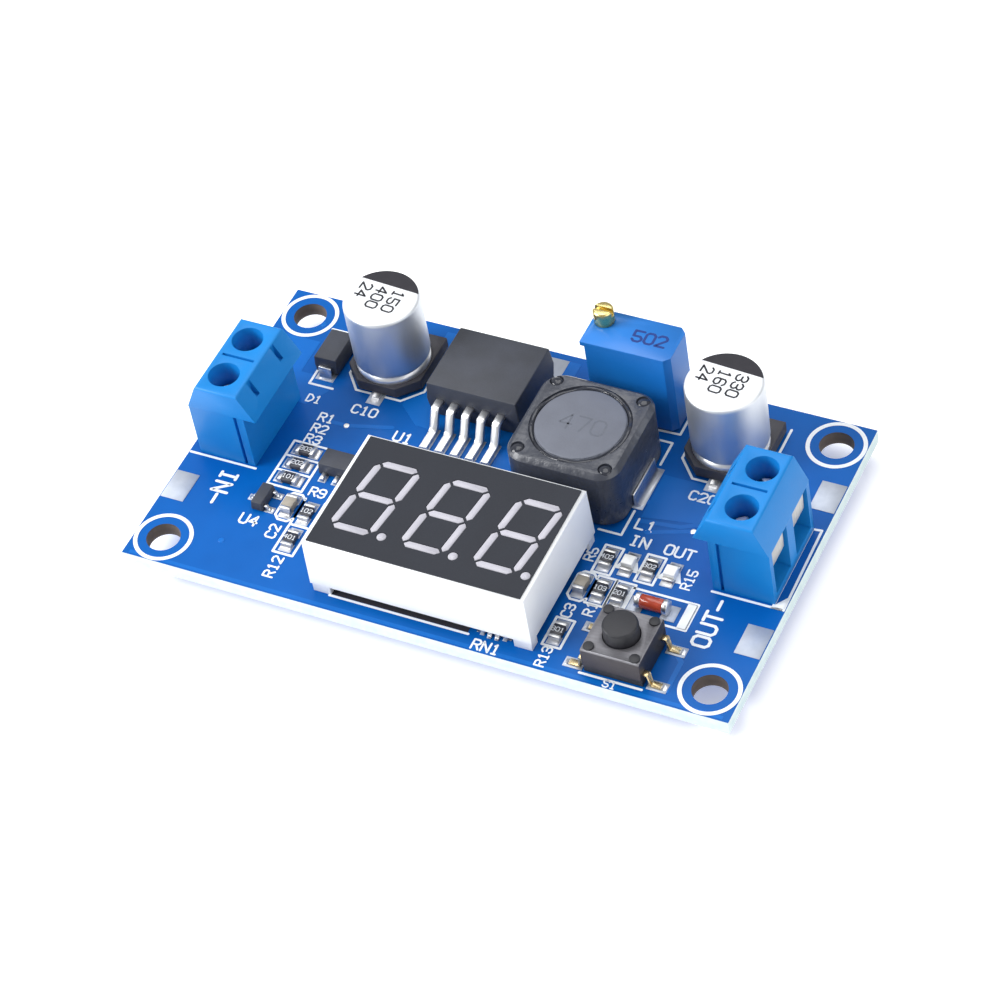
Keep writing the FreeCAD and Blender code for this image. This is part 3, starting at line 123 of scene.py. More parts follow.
# Printed words on the board: text, middle, turn in degrees and height.
WORDS = [
    ("C10", -17.7, 5.6, 0, 1.1), ("U1", -12.3, 3.5, 0, 1.2), ("R1", -21.0, 3.5, 0, 1.05),
    ("R2", -21.0, 1.95, 0, 1.05), ("R3", -21.0, 0.45, 0, 1.05), ("D1", -23.5, 5.5, 0, 0.95),
    ("C2", -19.2, -11.9, 90, 1.05), ("R12", -17.0, -16.0, 90, 1.05), ("U4", -22.2, -11.3, 0, 1.2),
    ("R9", -17.2, -5.9, 0, 1.05), ("IN-", -26.95, -8.3, -90, 1.75), ("OUT-", 26.4, -8.8, 90, 1.7),
    ("IN", 16.0, -1.6, 0, 1.2), ("OUT", 20.2, -1.6, 0, 1.2), ("L1", 15.7, 0.5, 0, 1.2),
    ("C20", 19.6, 5.6, 0, 1.1), ("R5", 12.1, -4.5, 90, 1.0), ("R15", 22.4, -4.5, 90, 0.95),
    ("C3", 12.9, -11.7, 90, 1.0), ("R16", 14.85, -10.4, 90, 1.0), ("R13", 13.0, -17.6, 90, 0.95),
    ("S1", 20.3, -18.65, 0, 0.8), ("RN1", 7.3, -18.35, 0, 1.12),
    ("OUT+", 26.9, 9.4, 90, 1.5), ("R7", 11.3, 13.7, 0, 1.05),
]

# Printed lines on the board, each a row of points.
LINES = [
    [(-32.3, -5.0), (-24.8, -5.0)],
    [(25.0, -5.1), (32.3, -5.1), (32.1, 5.3)],
    [(31.2, -4.9), (31.2, 5.2), (32.1, 5.3)],
    [(-21.6, 16.4), (-21.6, 10.0), (-19.9, 8.0), (-14.8, 8.0), (-13.0, 9.9), (-13.0, 16.4)],
    [(15.6, 16.6), (15.6, 9.8), (17.6, 7.6), (22.4, 7.6), (24.45, 9.8), (24.45, 16.6)],
    [(11.5, -1.35), (13.9, -1.35), (13.9, 1.9)],
    [(13.9, 8.3), (13.9, 11.3), (11.4, 11.3)],
    [(14.2, 12.6), (14.2, 17.6), (4.1, 17.6)],
    [(11.6, 12.5), (14.2, 12.6)],
    [(-26.2, 15.05), (-24.0, 15.05)],
    [(-25.0, 10.5), (-25.0, 7.35), (-22.3, 7.35)],
    [(17.0, -18.25), (23.4, -18.25)],
    [(-10.0, -17.45), (5.0, -17.45)],
    [(17.6, -7.1), (24.5, -7.1), (24.5, -10.4), (17.6, -10.4), (17.6, -7.1)],
    [(-22.75, -6.35), (-18.85, -6.35), (-18.85, -0.3), (-22.75, -0.3), (-22.75, -6.35)],
    [(-22.75, -4.3), (-18.85, -4.3)],
    [(-22.75, -2.3), (-18.85, -2.3)],
    [(-18.0, -7.0), (-18.0, -10.5), (-15.8, -10.5), (-15.8, -7.0)],
    [(-18.0, -10.7), (-18.0, -14.2), (-15.8, -14.2), (-15.8, -10.7)],
    [(-13.6, 0.2), (-13.2, 1.0), (-12.7, 1.0)],
]

# Frames round the chips: their middles, and the frame's size or its outline about the middle.
CHIP_FRAMES = [(13.95, -4.7), (18.35, -4.5), (14.9, -8.5), (16.9, -8.5), (13.15, -14.5)]
CHIP_FRAME_SIZE = (1.9, 3.5)
ROUND_FRAMES = [(-19.0, -8.5), (12.95, -8.5)]
ROUND_FRAME = [(-1, -1.3), (-0.5, -1.8), (0.5, -1.8), (1, -1.3), (1, 1.3), (0.5, 1.8), (-0.5, 1.8), (-1, 1.3),
               (-1, -1.3)]

# Solid patches of print: the bar beside the glass diode, the mark at the output terminal's corner, and the
# patch under each lamp about the lamp's middle.
DIODE_BAR = [(23.5, -10.35), (24.5, -10.35), (24.5, -7.15), (23.5, -7.15)]
CORNER_MARK = [(31.0, -5.23), (32.43, -5.23), (32.25, -3.4), (31.5, -4.4)]
LAMP_PATCH = [(-1.3, -0.75), (1.3, -0.75), (0.5, 0.95), (-0.5, 0.95)]

# Numbers on the pieces: height of a sign, width of its stroke and thickness of its ink. The inductor's has
# its middle so far right of the core's, and the trimmer's so far from the case's right end.
CAN_MARK = (1.2, 0.2, 0.01)
INDUCTOR_MARK = (1.9, 0.2, 0.008)
INDUCTOR_MARK_SHIFT = 0.2
TRIMMER_MARK = (1.4, 0.27, 0.008)
TRIMMER_MARK_INSET = 3.0
RESISTOR_MARK = (0.5, 0.06, 0.006)
# A resistor this long is the array, which carries no number. One whose sides differ by less than this is
# square, and its number reads along the board.
ARRAY_LENGTH = 2
SQUARE_BAND = 0.01

# Copper under the solder mask, above and below the board: outlines of the pours, rows of points of the
# tracks, and places of the vias.
POURS_ABOVE = [
    [(-32.0, 13.0), (-32.0, 4.6), (-24.0, 4.6), (-22.6, 6.8), (-22.6, 8.6), (-26.6, 8.6), (-26.6, 13.0)],
    [(-14.4, 18.4), (-14.4, 7.6), (-11.8, 5.4), (0.8, 5.4), (0.8, 18.4)],
    [(14.8, 1.4), (21.0, 2.4), (23.2, 4.6), (23.2, 7.2), (14.8, 7.2)],
    [(-31.8, -18.6), (-31.8, -19.0), (31.8, -19.0), (31.8, -18.6)],
]
TRACKS_ABOVE = [
    [(14.6, 0.9), (19.0, 1.4), (24.6, 4.4)],
    [(16.2, -0.2), (20.4, 1.3), (24.8, 1.0)],
    [(-14.0, 4.4), (-18.6, 3.2), (-20.2, 3.2)],
    [(-11.9, 2.4), (-13.8, 0.6)],
    [(24.0, -12.4), (25.6, -14.0), (25.6, -17.6)],
]
POURS_BELOW = [
    [(-31.6, 12.2), (-31.6, -12.0), (-24.4, -12.0), (-24.4, -18.2), (24.6, -18.2), (24.6, -12.0),
     (31.6, -12.0), (31.6, 12.2), (25.6, 12.2), (25.6, 18.4), (-25.6, 18.4), (-25.6, 12.2)],
]
TRACKS_BELOW = [
    [(-23.0, -3.0), (-17.0, -3.0), (-12.0, 2.0), (-4.0, 2.0), (4.0, 8.0), (12.0, 8.0)],
    [(-20.0, -12.0), (-10.0, -12.0), (-6.0, -8.0), (8.0, -8.0)],
    [(22.0, 2.5), (14.0, 2.5), (9.0, -2.5), (-8.0, -2.5)],
    [(10.0, -13.0), (18.0, -13.0), (22.0, -9.0)],
]
TINNED_VIAS = [(-18.6, 3.2), (20.4, 1.3)]
TENTED_VIAS = [(-14.2, -6.6), (14.6, 3.4), (25.6, -17.6), (-23.6, -14.6), (2.4, 8.2), (-27.4, 15.4),
               (16.2, -0.2), (-12.0, -14.6), (24.0, -12.4)]
VIA_PROFILE = [(0, 0), (1, 0), (0.94, 0.5), (0.8, 0.85), (0.5, 1.0), (0, 1.0)]

# Solder fillets at the ends of leads: the leads, the piece that they serve, the fillet's height and reach.
FILLETS = [
    ("resistor_ends", "resistor_bodies", 0.34, 0.4),
    ("chip_capacitor_ends", "chip_capacitor_bodies", 0.5, 0.42),
    ("indicator_lamp_ends", "indicator_lamps", 0.3, 0.4),
    ("switch_leads", "switch_base", 0.18, 0.4),
    ("input_diode_leads", "input_diode_body", 0.5, 0.35),
    ("small_transistor_leads", "small_transistor_body", 0.14, 0.25),
    ("inductor_terminals", "inductor_core", 1.1, 0.7),
    ("input_capacitor_leads", "input_capacitor_can", 0.2, 0.6),
    ("output_capacitor_leads", "output_capacitor_can", 0.2, 0.6),
]

# Fillets of the switching regulator: reach, width and height of each, and how far a lead's side fillets lie
# from its toe.
LEAD_SIDE_FILLET = (0.13, 1.5, 0.3)
LEAD_TOE_FILLET = (0.5, 1.0, 0.42)
TAB_FILLET = (0.8, 7.6, 0.9)
LEAD_SIDE_PLACE = 0.75

# A fillet's hollow curve, from under the lead to its toe, as shares of its reach and height. Its section, as
# shares of its half width and height. And how much narrower each side is at its toe.
FILLET_CURVE = [(-0.15, 1.0), (0.0, 1.0), (0.1, 0.62), (0.28, 0.34), (0.55, 0.15), (0.85, 0.06), (1.0, 0.0)]
FILLET_SECTION = [(-1, 0), (-0.94, 0.9), (0, 1), (0.94, 0.9), (1, 0)]
FILLET_TAPER = 0.08

# A capacitor's can: (inset, height over the foot) up to the straight side, (inset, drop from the top) above
# it, the height of the burnished lip and the depth of the coated top.
CAN_FOOT = [(0.16, 0), (0.06, 0.1), (0.06, 0.5), (0.12, 0.62), (0.34, 0.8), (0.34, 1.02), (0.14, 1.14),
            (0.03, 1.26), (0, 1.42)]
CAN_HEAD = [(0, 0.42), (0.04, 0.24), (0.13, 0.1), (0.27, 0.02), (0.4, 0.01), (0.5, 0.012)]
CAN_LIP, CAN_COAT = 0.72, 0.08

# Print on a can's top: inset of the dark part, middle of each number from the can's axis, and the numbers'
# turn in degrees from the dark part.
MOON_INSET = 0.12
CAN_ROWS = [(1.4, -0.1), (-0.42, -0.06), (-2.19, 0.51)]
CAN_SIGN_TURN = -91

# Glue on the inductor: the ring's (radius, height from the core's top), its waves as (height, count, start),
# their drop and how deep they reach, and the beads' outline, place, size, depth and turn in degrees.
GLUE_RING = [(4.66, -0.7), (5.09, -0.7), (5.12, -0.1), (5.04, -0.01), (4.9, 0.03), (4.76, 0), (4.66, -0.08),
             (4.66, -0.7)]
GLUE_WAVES = [(0.1, 4, 1.5), (0.06, 11, 0)]
GLUE_DROP, GLUE_SKIN = 0.08, 0.5
BEAD_PROFILE = [(0, 0), (0.92, 0.05), (1.0, 0.3), (0.85, 0.62), (0.5, 0.88), (0, 1.0)]
BEAD_PLACE, BEAD_SIZE, BEAD_DEPTH, BEAD_TURN = 4.65, (0.78, 0.74, 0.55), 0.5, 20

# Painted shadow under the display's front: a dark strip on the board where the gap under the housing lies in
# shade. Distances from the housing's left, from its right, and twice from its front.
GAP_LEFT, GAP_RIGHT, GAP_FRONT, GAP_BACK = 1.6, 7.0, 0.2, 3.0


def linear(code):
    """Turn an sRGB hex colour into linear red, green and blue."""
    channels = [int(code[k:k + 2], 16) / 255 for k in (1, 3, 5)]
    return [c / 12.92 if c <= 0.04045 else ((c + 0.055) / 1.055) ** 2.4 for c in channels]


def colour(name, code, description):
    """A colour that the user may change."""
    return FloatVectorProperty(name=name, description=description, subtype="COLOR", size=3, min=0, max=1,
                               default=linear(code))


def length(name, size, description):
    """A length in millimetres that the user may change."""
    return FloatProperty(name=name, description=description, default=size, min=0.001, soft_max=10)


class ConverterColours(bpy.types.PropertyGroup):
    """Colours of the module's main pieces, its print and its backdrop."""

    board: colour("Board", "#005cb0", "Solder mask over bare laminate")
    copper_pour: colour("Copper pour", "#0868c0", "Solder mask where copper lies under it")
    ink: colour("Board print", "#f4f6f8", "White print on the board")
    terminals: colour("Terminals", "#1081cd", "Moulded screw terminals")
    trimmer: colour("Trimmer", "#1877cd", "Moulded trimmer case")
    cans: colour("Cans", "#e9ecef", "Drawn aluminium of the capacitors")
    packages: colour("Packages", "#3c404c", "Moulded epoxy packages")
    shield: colour("Inductor shield", "#3f434e", "Pressed ferrite shield")
    display: colour("Display housing", "#f3f5f7", "White reflector plastic")
    display_face: colour("Display face", "#1e2129", "Dark film over the display")
    segments: colour("Segments", "#bbbac3", "Unlit bars and dots")
    cover: colour("Switch cover", "#808186", "Plated steel over the switch")
    button: colour("Button", "#24252b", "Moulded button and switch base")
    backdrop: colour("Backdrop", "#f7f8f9", "Plain pale floor of the stage")


class ConverterSizes(bpy.types.PropertyGroup):
    """Sizes of the print, the copper, the vias and the edges, in millimetres."""

    line_width: length("Line width", 0.26, "Width of the printed lines")
    stroke_share: FloatProperty(name="Stroke share", default=0.185, min=0.02, max=0.4,
                                description="Width of a word's strokes as a share of its height")
    ring_radius: length("Ring radius", 2.85, "Radius of the printed ring round each mounting hole")
    ring_width: length("Ring width", 0.42, "Width of the printed ring round each mounting hole")
    ink_thick: length("Ink thickness", 0.02, "Thickness of the print")
    print_lift: length("Print lift", 0.015, "Height of the print's underside over the bare mask")
    copper_thick: length("Copper thickness", 0.02, "Height of the copper under the solder mask")
    track_width: length("Track width", 0.5, "Width of a copper track")
    via_radius: length("Via radius", 0.33, "Radius of the mask's rise over a via")
    via_rise: length("Via rise", 0.05, "Height of the mask's rise over a via")
    can_print_place: length("Can print place", 1.87, "Distance of the dark print's edge from the can's axis")
    can_print_turn: FloatProperty(name="Can print turn", default=math.radians(-3.8), subtype="ANGLE",
                                  description="Turn of the dark print about the can's axis")
    moulded_edge: length("Moulded edge", 0.12, "Rounding of the moulded edges")
    shield_edge: length("Shield edge", 0.36, "Rounding of the inductor's tumbled shield")
    metal_edge: length("Metal edge", 0.05, "Rounding of the stamped metal edges")
    bent_edge: length("Bent edge", 0.1, "Rounding of the switching regulator's bent leads")
    chip_edge: length("Chip edge", 0.04, "Rounding of the chip parts")
    package_edge: length("Package edge", 0.08, "Rounding of the small packages")
    pad_edge: length("Pad edge", 0.02, "Rounding of the bare pads")
    bar_edge: length("Bar edge", 0.03, "Rounding of the display's bars")
    bar_gap: length("Bar gap", 0.07, "Dark gap round each bar of the display")
    turned_sides: IntProperty(name="Turned sides", default=96, min=12,
                              description="Facets round a turned piece")


class ConverterStage(bpy.types.PropertyGroup):
    """Camera and lights."""

    focal_length: FloatProperty(name="Focal length", default=121.76, min=10,
                                description="Lens, in millimetres, on a 36 mm sensor")
    key_power: FloatProperty(name="Key light", description="Light from the left", default=2.4, min=0,
                             subtype="POWER", unit="POWER")
    fill_power: FloatProperty(name="Fill light", description="Light from the right", default=0.5, min=0,
                              subtype="POWER", unit="POWER")
    top_power: FloatProperty(name="Top light", description="Light from above and behind", default=1.1, min=0,
                             subtype="POWER", unit="POWER")
    sky: FloatProperty(name="Sky", description="Brightness of the white surroundings", default=0.42, min=0)


def add(tree, kind, inputs=None, **settings):
    """Add a node with its settings, and set or link its inputs."""
    node = tree.nodes.new(kind)
    for name, value in settings.items():
        setattr(node, name, value)
    for name, value in (inputs or {}).items():
        if isinstance(value, bpy.types.NodeSocket):
            tree.links.new(value, node.inputs[name])
        else:
            node.inputs[name].default_value = value
    return node


# Patterns of lines: the ways they cross, the distance between two, how far they waver and the form of each.
# Real yarns and threads lie half a millimetre apart and plies and lathe lines a fifth, which is 5 and 2 pixels
# of the render. All are drawn about six times coarser, so that they show as soft bands.
PATTERNS = {
    # Glass cloth under the mask: yarns that cross, both ways.
    "woven": ("XY", 3.14, 0.6, "SIN"),
    # Cut laminate: plies, one over another.
    "layered": ("Z", 1.257, 1.5, "SIN"),
    # Lathe lines, or turns of wire, up the length of a piece.
    "turned lines": ("Z", 1.257, 0.4, "SIN"),
    # Screw thread up the length of a screw.
    "threads": ("Z", 3.14, 0, "TRI"),
}
# Share of a pattern's strength that its colour takes.
PATTERN_TINT = 0.35

# Every finish: its colour (a name in ConverterColours or an sRGB hex), the colour that it drifts to, the size
# in millimetres of the drift and of the grain, how high the grain stands, its lowest and highest roughness,
# how drift and grain are stretched, its pattern of lines and their share, and the shader's own settings.
FINISHES = {
    # Glossy epoxy solder mask, screened over glass cloth: a faint weave under a wet-looking coat.
    "solder mask": dict(base="board", drift="#004f9a", patch=9, grain=0.5, relief=0.004, rough=(0.3, 0.42),
                        pattern="woven", share=0.35, shader={"IOR": 1.54, "Specular IOR Level": 0.15}),
    # The same mask over copper: a shade lighter, with a soft step at its edge.
    "mask over copper": dict(base="copper_pour", drift="#065caa", patch=7, grain=0.35, relief=0.003,
                             rough=(0.28, 0.4), shader={"IOR": 1.54, "Specular IOR Level": 0.17}),
    # Routed glass-fibre edge: pale, dry and striped by its plies.
    "routed laminate": dict(base="#dfe9e6", drift="#b9cfd6", patch=1.2, grain=0.08, relief=0.02,
                            rough=(0.6, 0.8), pattern="layered", share=0.5, shader={"IOR": 1.52}),
    # Drilled hole wall: the laminate painted dark brown, far darker than its cut edge, as painted shade inside
    # the holes; striped by its plies.
    "drilled laminate": dict(base="#5e5044", drift="#453d38", patch=0.8, grain=0.1, relief=0.02,
                             rough=(0.55, 0.75), pattern="layered", share=0.5, shader={"IOR": 1.52}),
    # Screened epoxy ink: flat white with slightly uneven cover.
    "screen ink": dict(base="ink", drift="#dfe6ee", patch=0.8, grain=0.06, relief=0.003, rough=(0.55, 0.7),
                       shader={"IOR": 1.5}),
    # Bare tinned copper of the lugs and pads: greyed by air, dull, with soft shallow waves.
    "greyed tin": dict(base="#c6ccd7", drift="#adb5c3", patch=0.9, grain=0.25, relief=0.008,
                       rough=(0.5, 0.64), shader={"Metallic": 0.75}),
    # Hot-levelled tin: bright, with soft shallow waves.
    "levelled tin": dict(base="#e4e4e2", drift="#c6c6c6", patch=0.9, grain=0.25, relief=0.012,
                         rough=(0.28, 0.46), shader={"Metallic": 1.0}),
    # Reflowed solder: brighter and smoother than the pads, with a frozen skin.
    "reflowed solder": dict(base="#dcdde0", drift="#b4b5b9", patch=0.5, grain=0.3, relief=0.012,
                            rough=(0.26, 0.42), shader={"Metallic": 1.0}),
    # Stamped leads with matt tin plate: silky, drawn along the strip.
    "tin plate": dict(base="#ecedee", drift="#cfd0d2", patch=0.7, grain=0.08, relief=0.006,
                      rough=(0.26, 0.42), stretch=(1, 0.25, 1), shader={"Metallic": 1.0}),
    # Switch leads of silvered brass: the silver is thin, so the strip shows warm.
    "silvered brass": dict(base="#ecdcb4", drift="#d2b277", patch=0.6, grain=0.08, relief=0.006,
                           rough=(0.2, 0.36), stretch=(1, 0.25, 1), shader={"Metallic": 1.0}),
    # Moulded polyamide: satin from a spark-eroded mould, faintly cloudy.
    "moulded polyamide": dict(base="terminals", drift="#0e76c2", patch=4, grain=0.12, relief=0.008,
                              rough=(0.36, 0.5), shader={"IOR": 1.53, "Specular IOR Level": 0.28}),
    # Nickel-plated steel: cool satin with fine roll lines.
    "nickel-plated steel": dict(base="#cfcdc8", drift="#a8a6a2", patch=1.5, grain=0.07, relief=0.006,
                                rough=(0.22, 0.4), stretch=(1, 6, 1), shader={"Metallic": 1.0}),
    # Threaded steel over its cut threads, painted near white and less metallic than steel is, as a painted
    # highlight: paler than the cages so that it shows in the wells.
    "threaded steel": dict(base="#ffffff", drift="#efeeeb", patch=0.8, grain=0.1, relief=0.06,
                           rough=(0.3, 0.45), pattern="threads", share=0.8, shader={"Metallic": 0.3}),
    # Deep-drawn aluminium: satin, with fine lines up the can from the die.
    "drawn aluminium": dict(base="cans", drift="#d3d7dc", patch=1.6, grain=0.09, relief=0.004,
                            rough=(0.44, 0.56), stretch=(1, 1, 0.06),
                            shader={"Metallic": 1.0, "Anisotropic": 0.3}),
    # Rolled lip of the can: burnished by the seaming wheel, so it shines brighter than the side.
    "burnished aluminium": dict(base="#f6f7f9", drift="#e4e7eb", patch=0.8, grain=0.12, relief=0.004,
                                rough=(0.3, 0.42), shader={"Metallic": 0.85}),
    # Coated top of the can: a clear film over the metal makes it paler and flatter than the side.
    "coated aluminium": dict(base="#eef1f4", drift="#dfe4ea", patch=2.2, grain=0.12, relief=0.004,
                             rough=(0.4, 0.55), shader={"Metallic": 0.35, "IOR": 1.5}),
    # Stamped ink on metal: near black, slightly broken. The same dark finish, laid on the board under the
    # display's front, is painted shadow.
    "stamped ink": dict(base="#222127", drift="#2f2e35", patch=0.9, grain=0.08, relief=0.003,
                        rough=(0.55, 0.75), shader={"IOR": 1.5, "Specular IOR Level": 0.35}),
    # Moulded phenolic base under the can: dark grey with a dull skin.
    "moulded phenolic": dict(base="#32323a", drift="#424148", patch=1.5, grain=0.1, relief=0.012,
                             rough=(0.5, 0.68), shader={"IOR": 1.55}),
    # Transfer-moulded epoxy: charcoal, with the fine sandy grain of its filler.
    "moulded epoxy": dict(base="packages", drift="#2a2d34", patch=2.5, grain=0.11, relief=0.014,
                          rough=(0.48, 0.66), shader={"IOR": 1.56}),
    # Pressed ferrite under a thin lacquer: dark, rounded by tumbling, softly shiny.
    "tumbled ferrite": dict(base="shield", drift="#2f323b", patch=2.2, grain=0.6, relief=0.06,
                            rough=(0.2, 0.46), shader={"IOR": 1.6}),
    # Ground ferrite face: paler grey, with even fine pores.
    "ground ferrite": dict(base="#656a77", drift="#575b67", patch=2.0, grain=0.14, relief=0.01,
                           rough=(0.5, 0.66), shader={"IOR": 1.6}),
    # Worn stamp on the core: hardly darker than the ferrite.
    "worn stamp": dict(base="#535763", drift="#60656f", patch=0.5, grain=0.14, relief=0.004,
                       rough=(0.5, 0.66), shader={"IOR": 1.5}),
    # Set silicone glue: dark and wet-looking, with lumps that catch the light.
    "set glue": dict(base="#26282f", drift="#363942", patch=0.8, grain=0.7, relief=0.08, rough=(0.04, 0.12),
                     shader={"IOR": 1.45}),
    # Enamelled copper wire: reddish metal under varnish, turn over turn.
    "enamelled copper": dict(base="#b8652f", drift="#8f4a20", patch=1.0, grain=0.3, relief=0.05,
                             rough=(0.25, 0.4), pattern="turned lines", share=0.7, shader={"Metallic": 0.8}),
    # Moulded polyester trimmer case: even satin blue.
    "moulded polyester": dict(base="trimmer", drift="#146abc", patch=3, grain=0.1, relief=0.007,
                              rough=(0.3, 0.44), shader={"IOR": 1.57}),
    # Laser-burnt marks in the blue case: darker, with no gloss.
    "burnt mark": dict(base="#103684", drift="#0d2d70", patch=0.5, grain=0.08, relief=0.004,
                       rough=(0.6, 0.8), shader={"IOR": 1.5}),
    # Casting resin under the trimmer: dark blue and self-levelled.
    "casting resin": dict(base="#1b2c55", drift="#141f3d", patch=1.5, grain=0.5, relief=0.01,
                          rough=(0.2, 0.35), shader={"IOR": 1.5}),
    # Turned brass: warm, with lathe lines.
    "turned brass": dict(base="#e9dca2", drift="#ccb567", patch=0.8, grain=0.12, relief=0.02,
                         rough=(0.18, 0.34), pattern="turned lines", share=0.5, shader={"Metallic": 1.0}),
    # Fired alumina: chalky white.
    "fired alumina": dict(base="#e8e5dc", drift="#d5d1c6", patch=0.8, grain=0.06, relief=0.006,
                          rough=(0.6, 0.75), shader={"IOR": 1.76}),
    # Reflector plastic filled with white pigment: bright and satin.
    "reflector plastic": dict(base="display", drift="#e6e9ed", patch=5, grain=0.12, relief=0.006,
                              rough=(0.36, 0.5),
                              shader={"IOR": 1.58, "Subsurface Weight": 0.1,
                                      "Subsurface Radius": (2 * MM,) * 3, "Subsurface Scale": 0.4}),
    # Charcoal film on the display's face: matt, with a fine even tooth.
    "charcoal film": dict(base="display_face", drift="#262a34", patch=6, grain=0.14, relief=0.008,
                          rough=(0.5, 0.64), shader={"IOR": 1.5, "Specular IOR Level": 0.35}),
    # Milky casting in the bars: pale, with light let in under a glossy skin.
    "milky resin": dict(base="segments", drift="#acabb6", patch=1.4, grain=0.2, relief=0.004,
                        rough=(0.28, 0.42),
                        shader={"IOR": 1.52, "Subsurface Weight": 0.25, "Subsurface Radius": (MM,) * 3,
                                "Subsurface Scale": 0.5}),
    # Rolled and stamped cover steel under dull tin: plain grey with roll lines.
    "rolled cover steel": dict(base="cover", drift="#68666b", patch=1.6, grain=0.08, relief=0.006,
                               rough=(0.38, 0.55), stretch=(1, 8, 1), shader={"Metallic": 0.75}),
    # The same steel on the cover's bent sides, painted darker and duller than the top as painted shade on the
    # sides.
    "drawn cover steel": dict(base="#4c484c", drift="#3d3a3e", patch=1.2, grain=0.08, relief=0.006,
                              rough=(0.45, 0.6), stretch=(1, 1, 6), shader={"Metallic": 0.6}),
    # Moulded button plastic: dark grey and satin.
    "moulded acetal": dict(base="button", drift="#1d1e24", patch=1.2, grain=0.09, relief=0.008,
                           rough=(0.4, 0.56), shader={"IOR": 1.48}),
    # Drawn glass tube of the diode: orange-red and deep, with a sharp shine.
    "orange glass": dict(base="#d65c42", drift="#ac402c", patch=0.5, grain=0.4, relief=0.004,
                         rough=(0.06, 0.14), shader={"IOR": 1.52, "Transmission Weight": 0.35}),
    # Fired glass over a resistor's film: near black and a little glossy.
    "resistor glaze": dict(base="#2b2c33", drift="#3a3b44", patch=0.6, grain=0.1, relief=0.006,
                           rough=(0.3, 0.46), shader={"IOR": 1.5}),
    # Fired dielectric of the chip capacitors: warm grey and dense.
    "fired dielectric": dict(base="#a49c8e", drift="#8d8679", patch=0.6, grain=0.07, relief=0.006,
                             rough=(0.42, 0.58), shader={"IOR": 1.7}),
    # Clear lens resin over a white reflector cup: milky white and glossy.
    "lens resin": dict(base="#fcfdfb", drift="#eef0ec", patch=0.5, grain=0.2, relief=0.003,
                       rough=(0.12, 0.26),
                       shader={"IOR": 1.52, "Subsurface Weight": 0.2, "Subsurface Radius": (MM,) * 3,
                               "Subsurface Scale": 0.3}),
    # Painted backdrop of the stage, lit a little from behind so that shadows stay faint.
    "matt backdrop": dict(base="backdrop", drift="#f2f3f5", patch=60, grain=3, relief=0.0005,
                          rough=(0.85, 0.95),
                          shader={"IOR": 1.45, "Emission Color": (*linear("#ffffff"), 1),
                                  "Emission Strength": 0.3}),
}


def finish(name):
    """The material of one finish, made from its entry in the table on first use.

    The Mix node's inputs go by number: 0 is the share, 2 and 3 are the values, 6 and 7 the colours.
    """
    if name in bpy.data.materials:
        return bpy.data.materials[name]
    recipe = FINISHES[name]
    base = recipe["base"]
    first = linear(base) if base.startswith("#") else getattr(bpy.context.scene.converter_colours, base)
    material = bpy.data.materials.new(name)
    material.use_nodes = True
    tree = material.node_tree
    tree.nodes.clear()
    here = add(tree, "ShaderNodeTexCoord").outputs["Object"]
    stretch = recipe.get("stretch", (1, 1, 1))
    place = add(tree, "ShaderNodeMapping", {"Vector": here, "Scale": stretch}).outputs[0]
    patches = add(tree, "ShaderNodeTexNoise",
                  {"Vector": place, "Scale": 1 / (recipe["patch"] * MM), "Detail": 3.0})
    grain = add(tree, "ShaderNodeTexNoise",
                {"Vector": place, "Scale": 1 / (recipe["grain"] * MM), "Detail": 2.0})
    drift, height = patches.outputs["Fac"], grain.outputs["Fac"]
    if "pattern" in recipe:
        ways, spacing, waver, form = PATTERNS[recipe["pattern"]]
        waves = [add(tree, "ShaderNodeTexWave",
                     {"Vector": here, "Scale": 1 / (WAVE_BANDS * spacing * MM), "Distortion": waver},
                     bands_direction=way, wave_profile=form).outputs["Fac"] for way in ways]
        lines = waves[0]
        for wave in waves[1:]:
            lines = add(tree, "ShaderNodeMath", {0: lines, 1: wave}, operation="MULTIPLY").outputs[0]
        height = add(tree, "ShaderNodeMix", {0: recipe["share"], 2: height, 3: lines}).outputs[0]
        drift = add(tree, "ShaderNodeMix", {0: PATTERN_TINT * recipe["share"], 2: drift, 3: lines}).outputs[0]
    shade = add(tree, "ShaderNodeMix", {0: drift, 6: (*first, 1), 7: (*linear(recipe["drift"]), 1)},
                data_type="RGBA").outputs[2]
    low, high = recipe["rough"]
    rough = add(tree, "ShaderNodeMapRange", {"Value": height, "To Min": low, "To Max": high}).outputs[0]
    bump = add(tree, "ShaderNodeBump", {"Height": height, "Distance": recipe["relief"] * MM}).outputs[0]
    surface = add(tree, "ShaderNodeBsdfPrincipled", {"Base Color": shade, "Roughness": rough, "Normal": bump,
                                                     **recipe["shader"]})
    add(tree, "ShaderNodeOutputMaterial", {"Surface": surface.outputs[0]})
    return material


def show(name, mesh, body, nodes=(), finishes=()):
    """Show a finished mesh as a piece on its body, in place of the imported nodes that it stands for."""
    for finish_name in finishes:
        mesh.materials.append(finish(finish_name))
    piece = bpy.data.objects.new(name, mesh)
    bpy.context.scene.collection.objects.link(piece)
    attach(piece, body)
    if nodes:
        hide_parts(*nodes)
    return piece


def body_of(node):
    """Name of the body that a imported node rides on."""
    return frame["nodes"][node]["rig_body"]


def paint(node, finish_name):
    """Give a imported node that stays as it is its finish."""
    mesh = frame["nodes"][node].data
    if not mesh.materials:
        mesh.materials.append(None)
    for slot in frame["nodes"][node].material_slots:
        slot.material = finish(finish_name)


def merged(node):
    """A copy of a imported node's mesh, with its loose triangles joined and its flat faces made whole."""
    build = bmesh.new()
    build.from_mesh(frame["nodes"][node].data)
    bmesh.ops.remove_doubles(build, verts=build.verts, dist=WELD * MM)
    flat = math.radians(FLAT_ANGLE)
    bmesh.ops.dissolve_limit(build, angle_limit=flat, verts=build.verts, edges=build.edges)
    mesh = bpy.data.meshes.new(node)
    build.to_mesh(mesh)
    build.free()
    mesh.materials.clear()
    return mesh


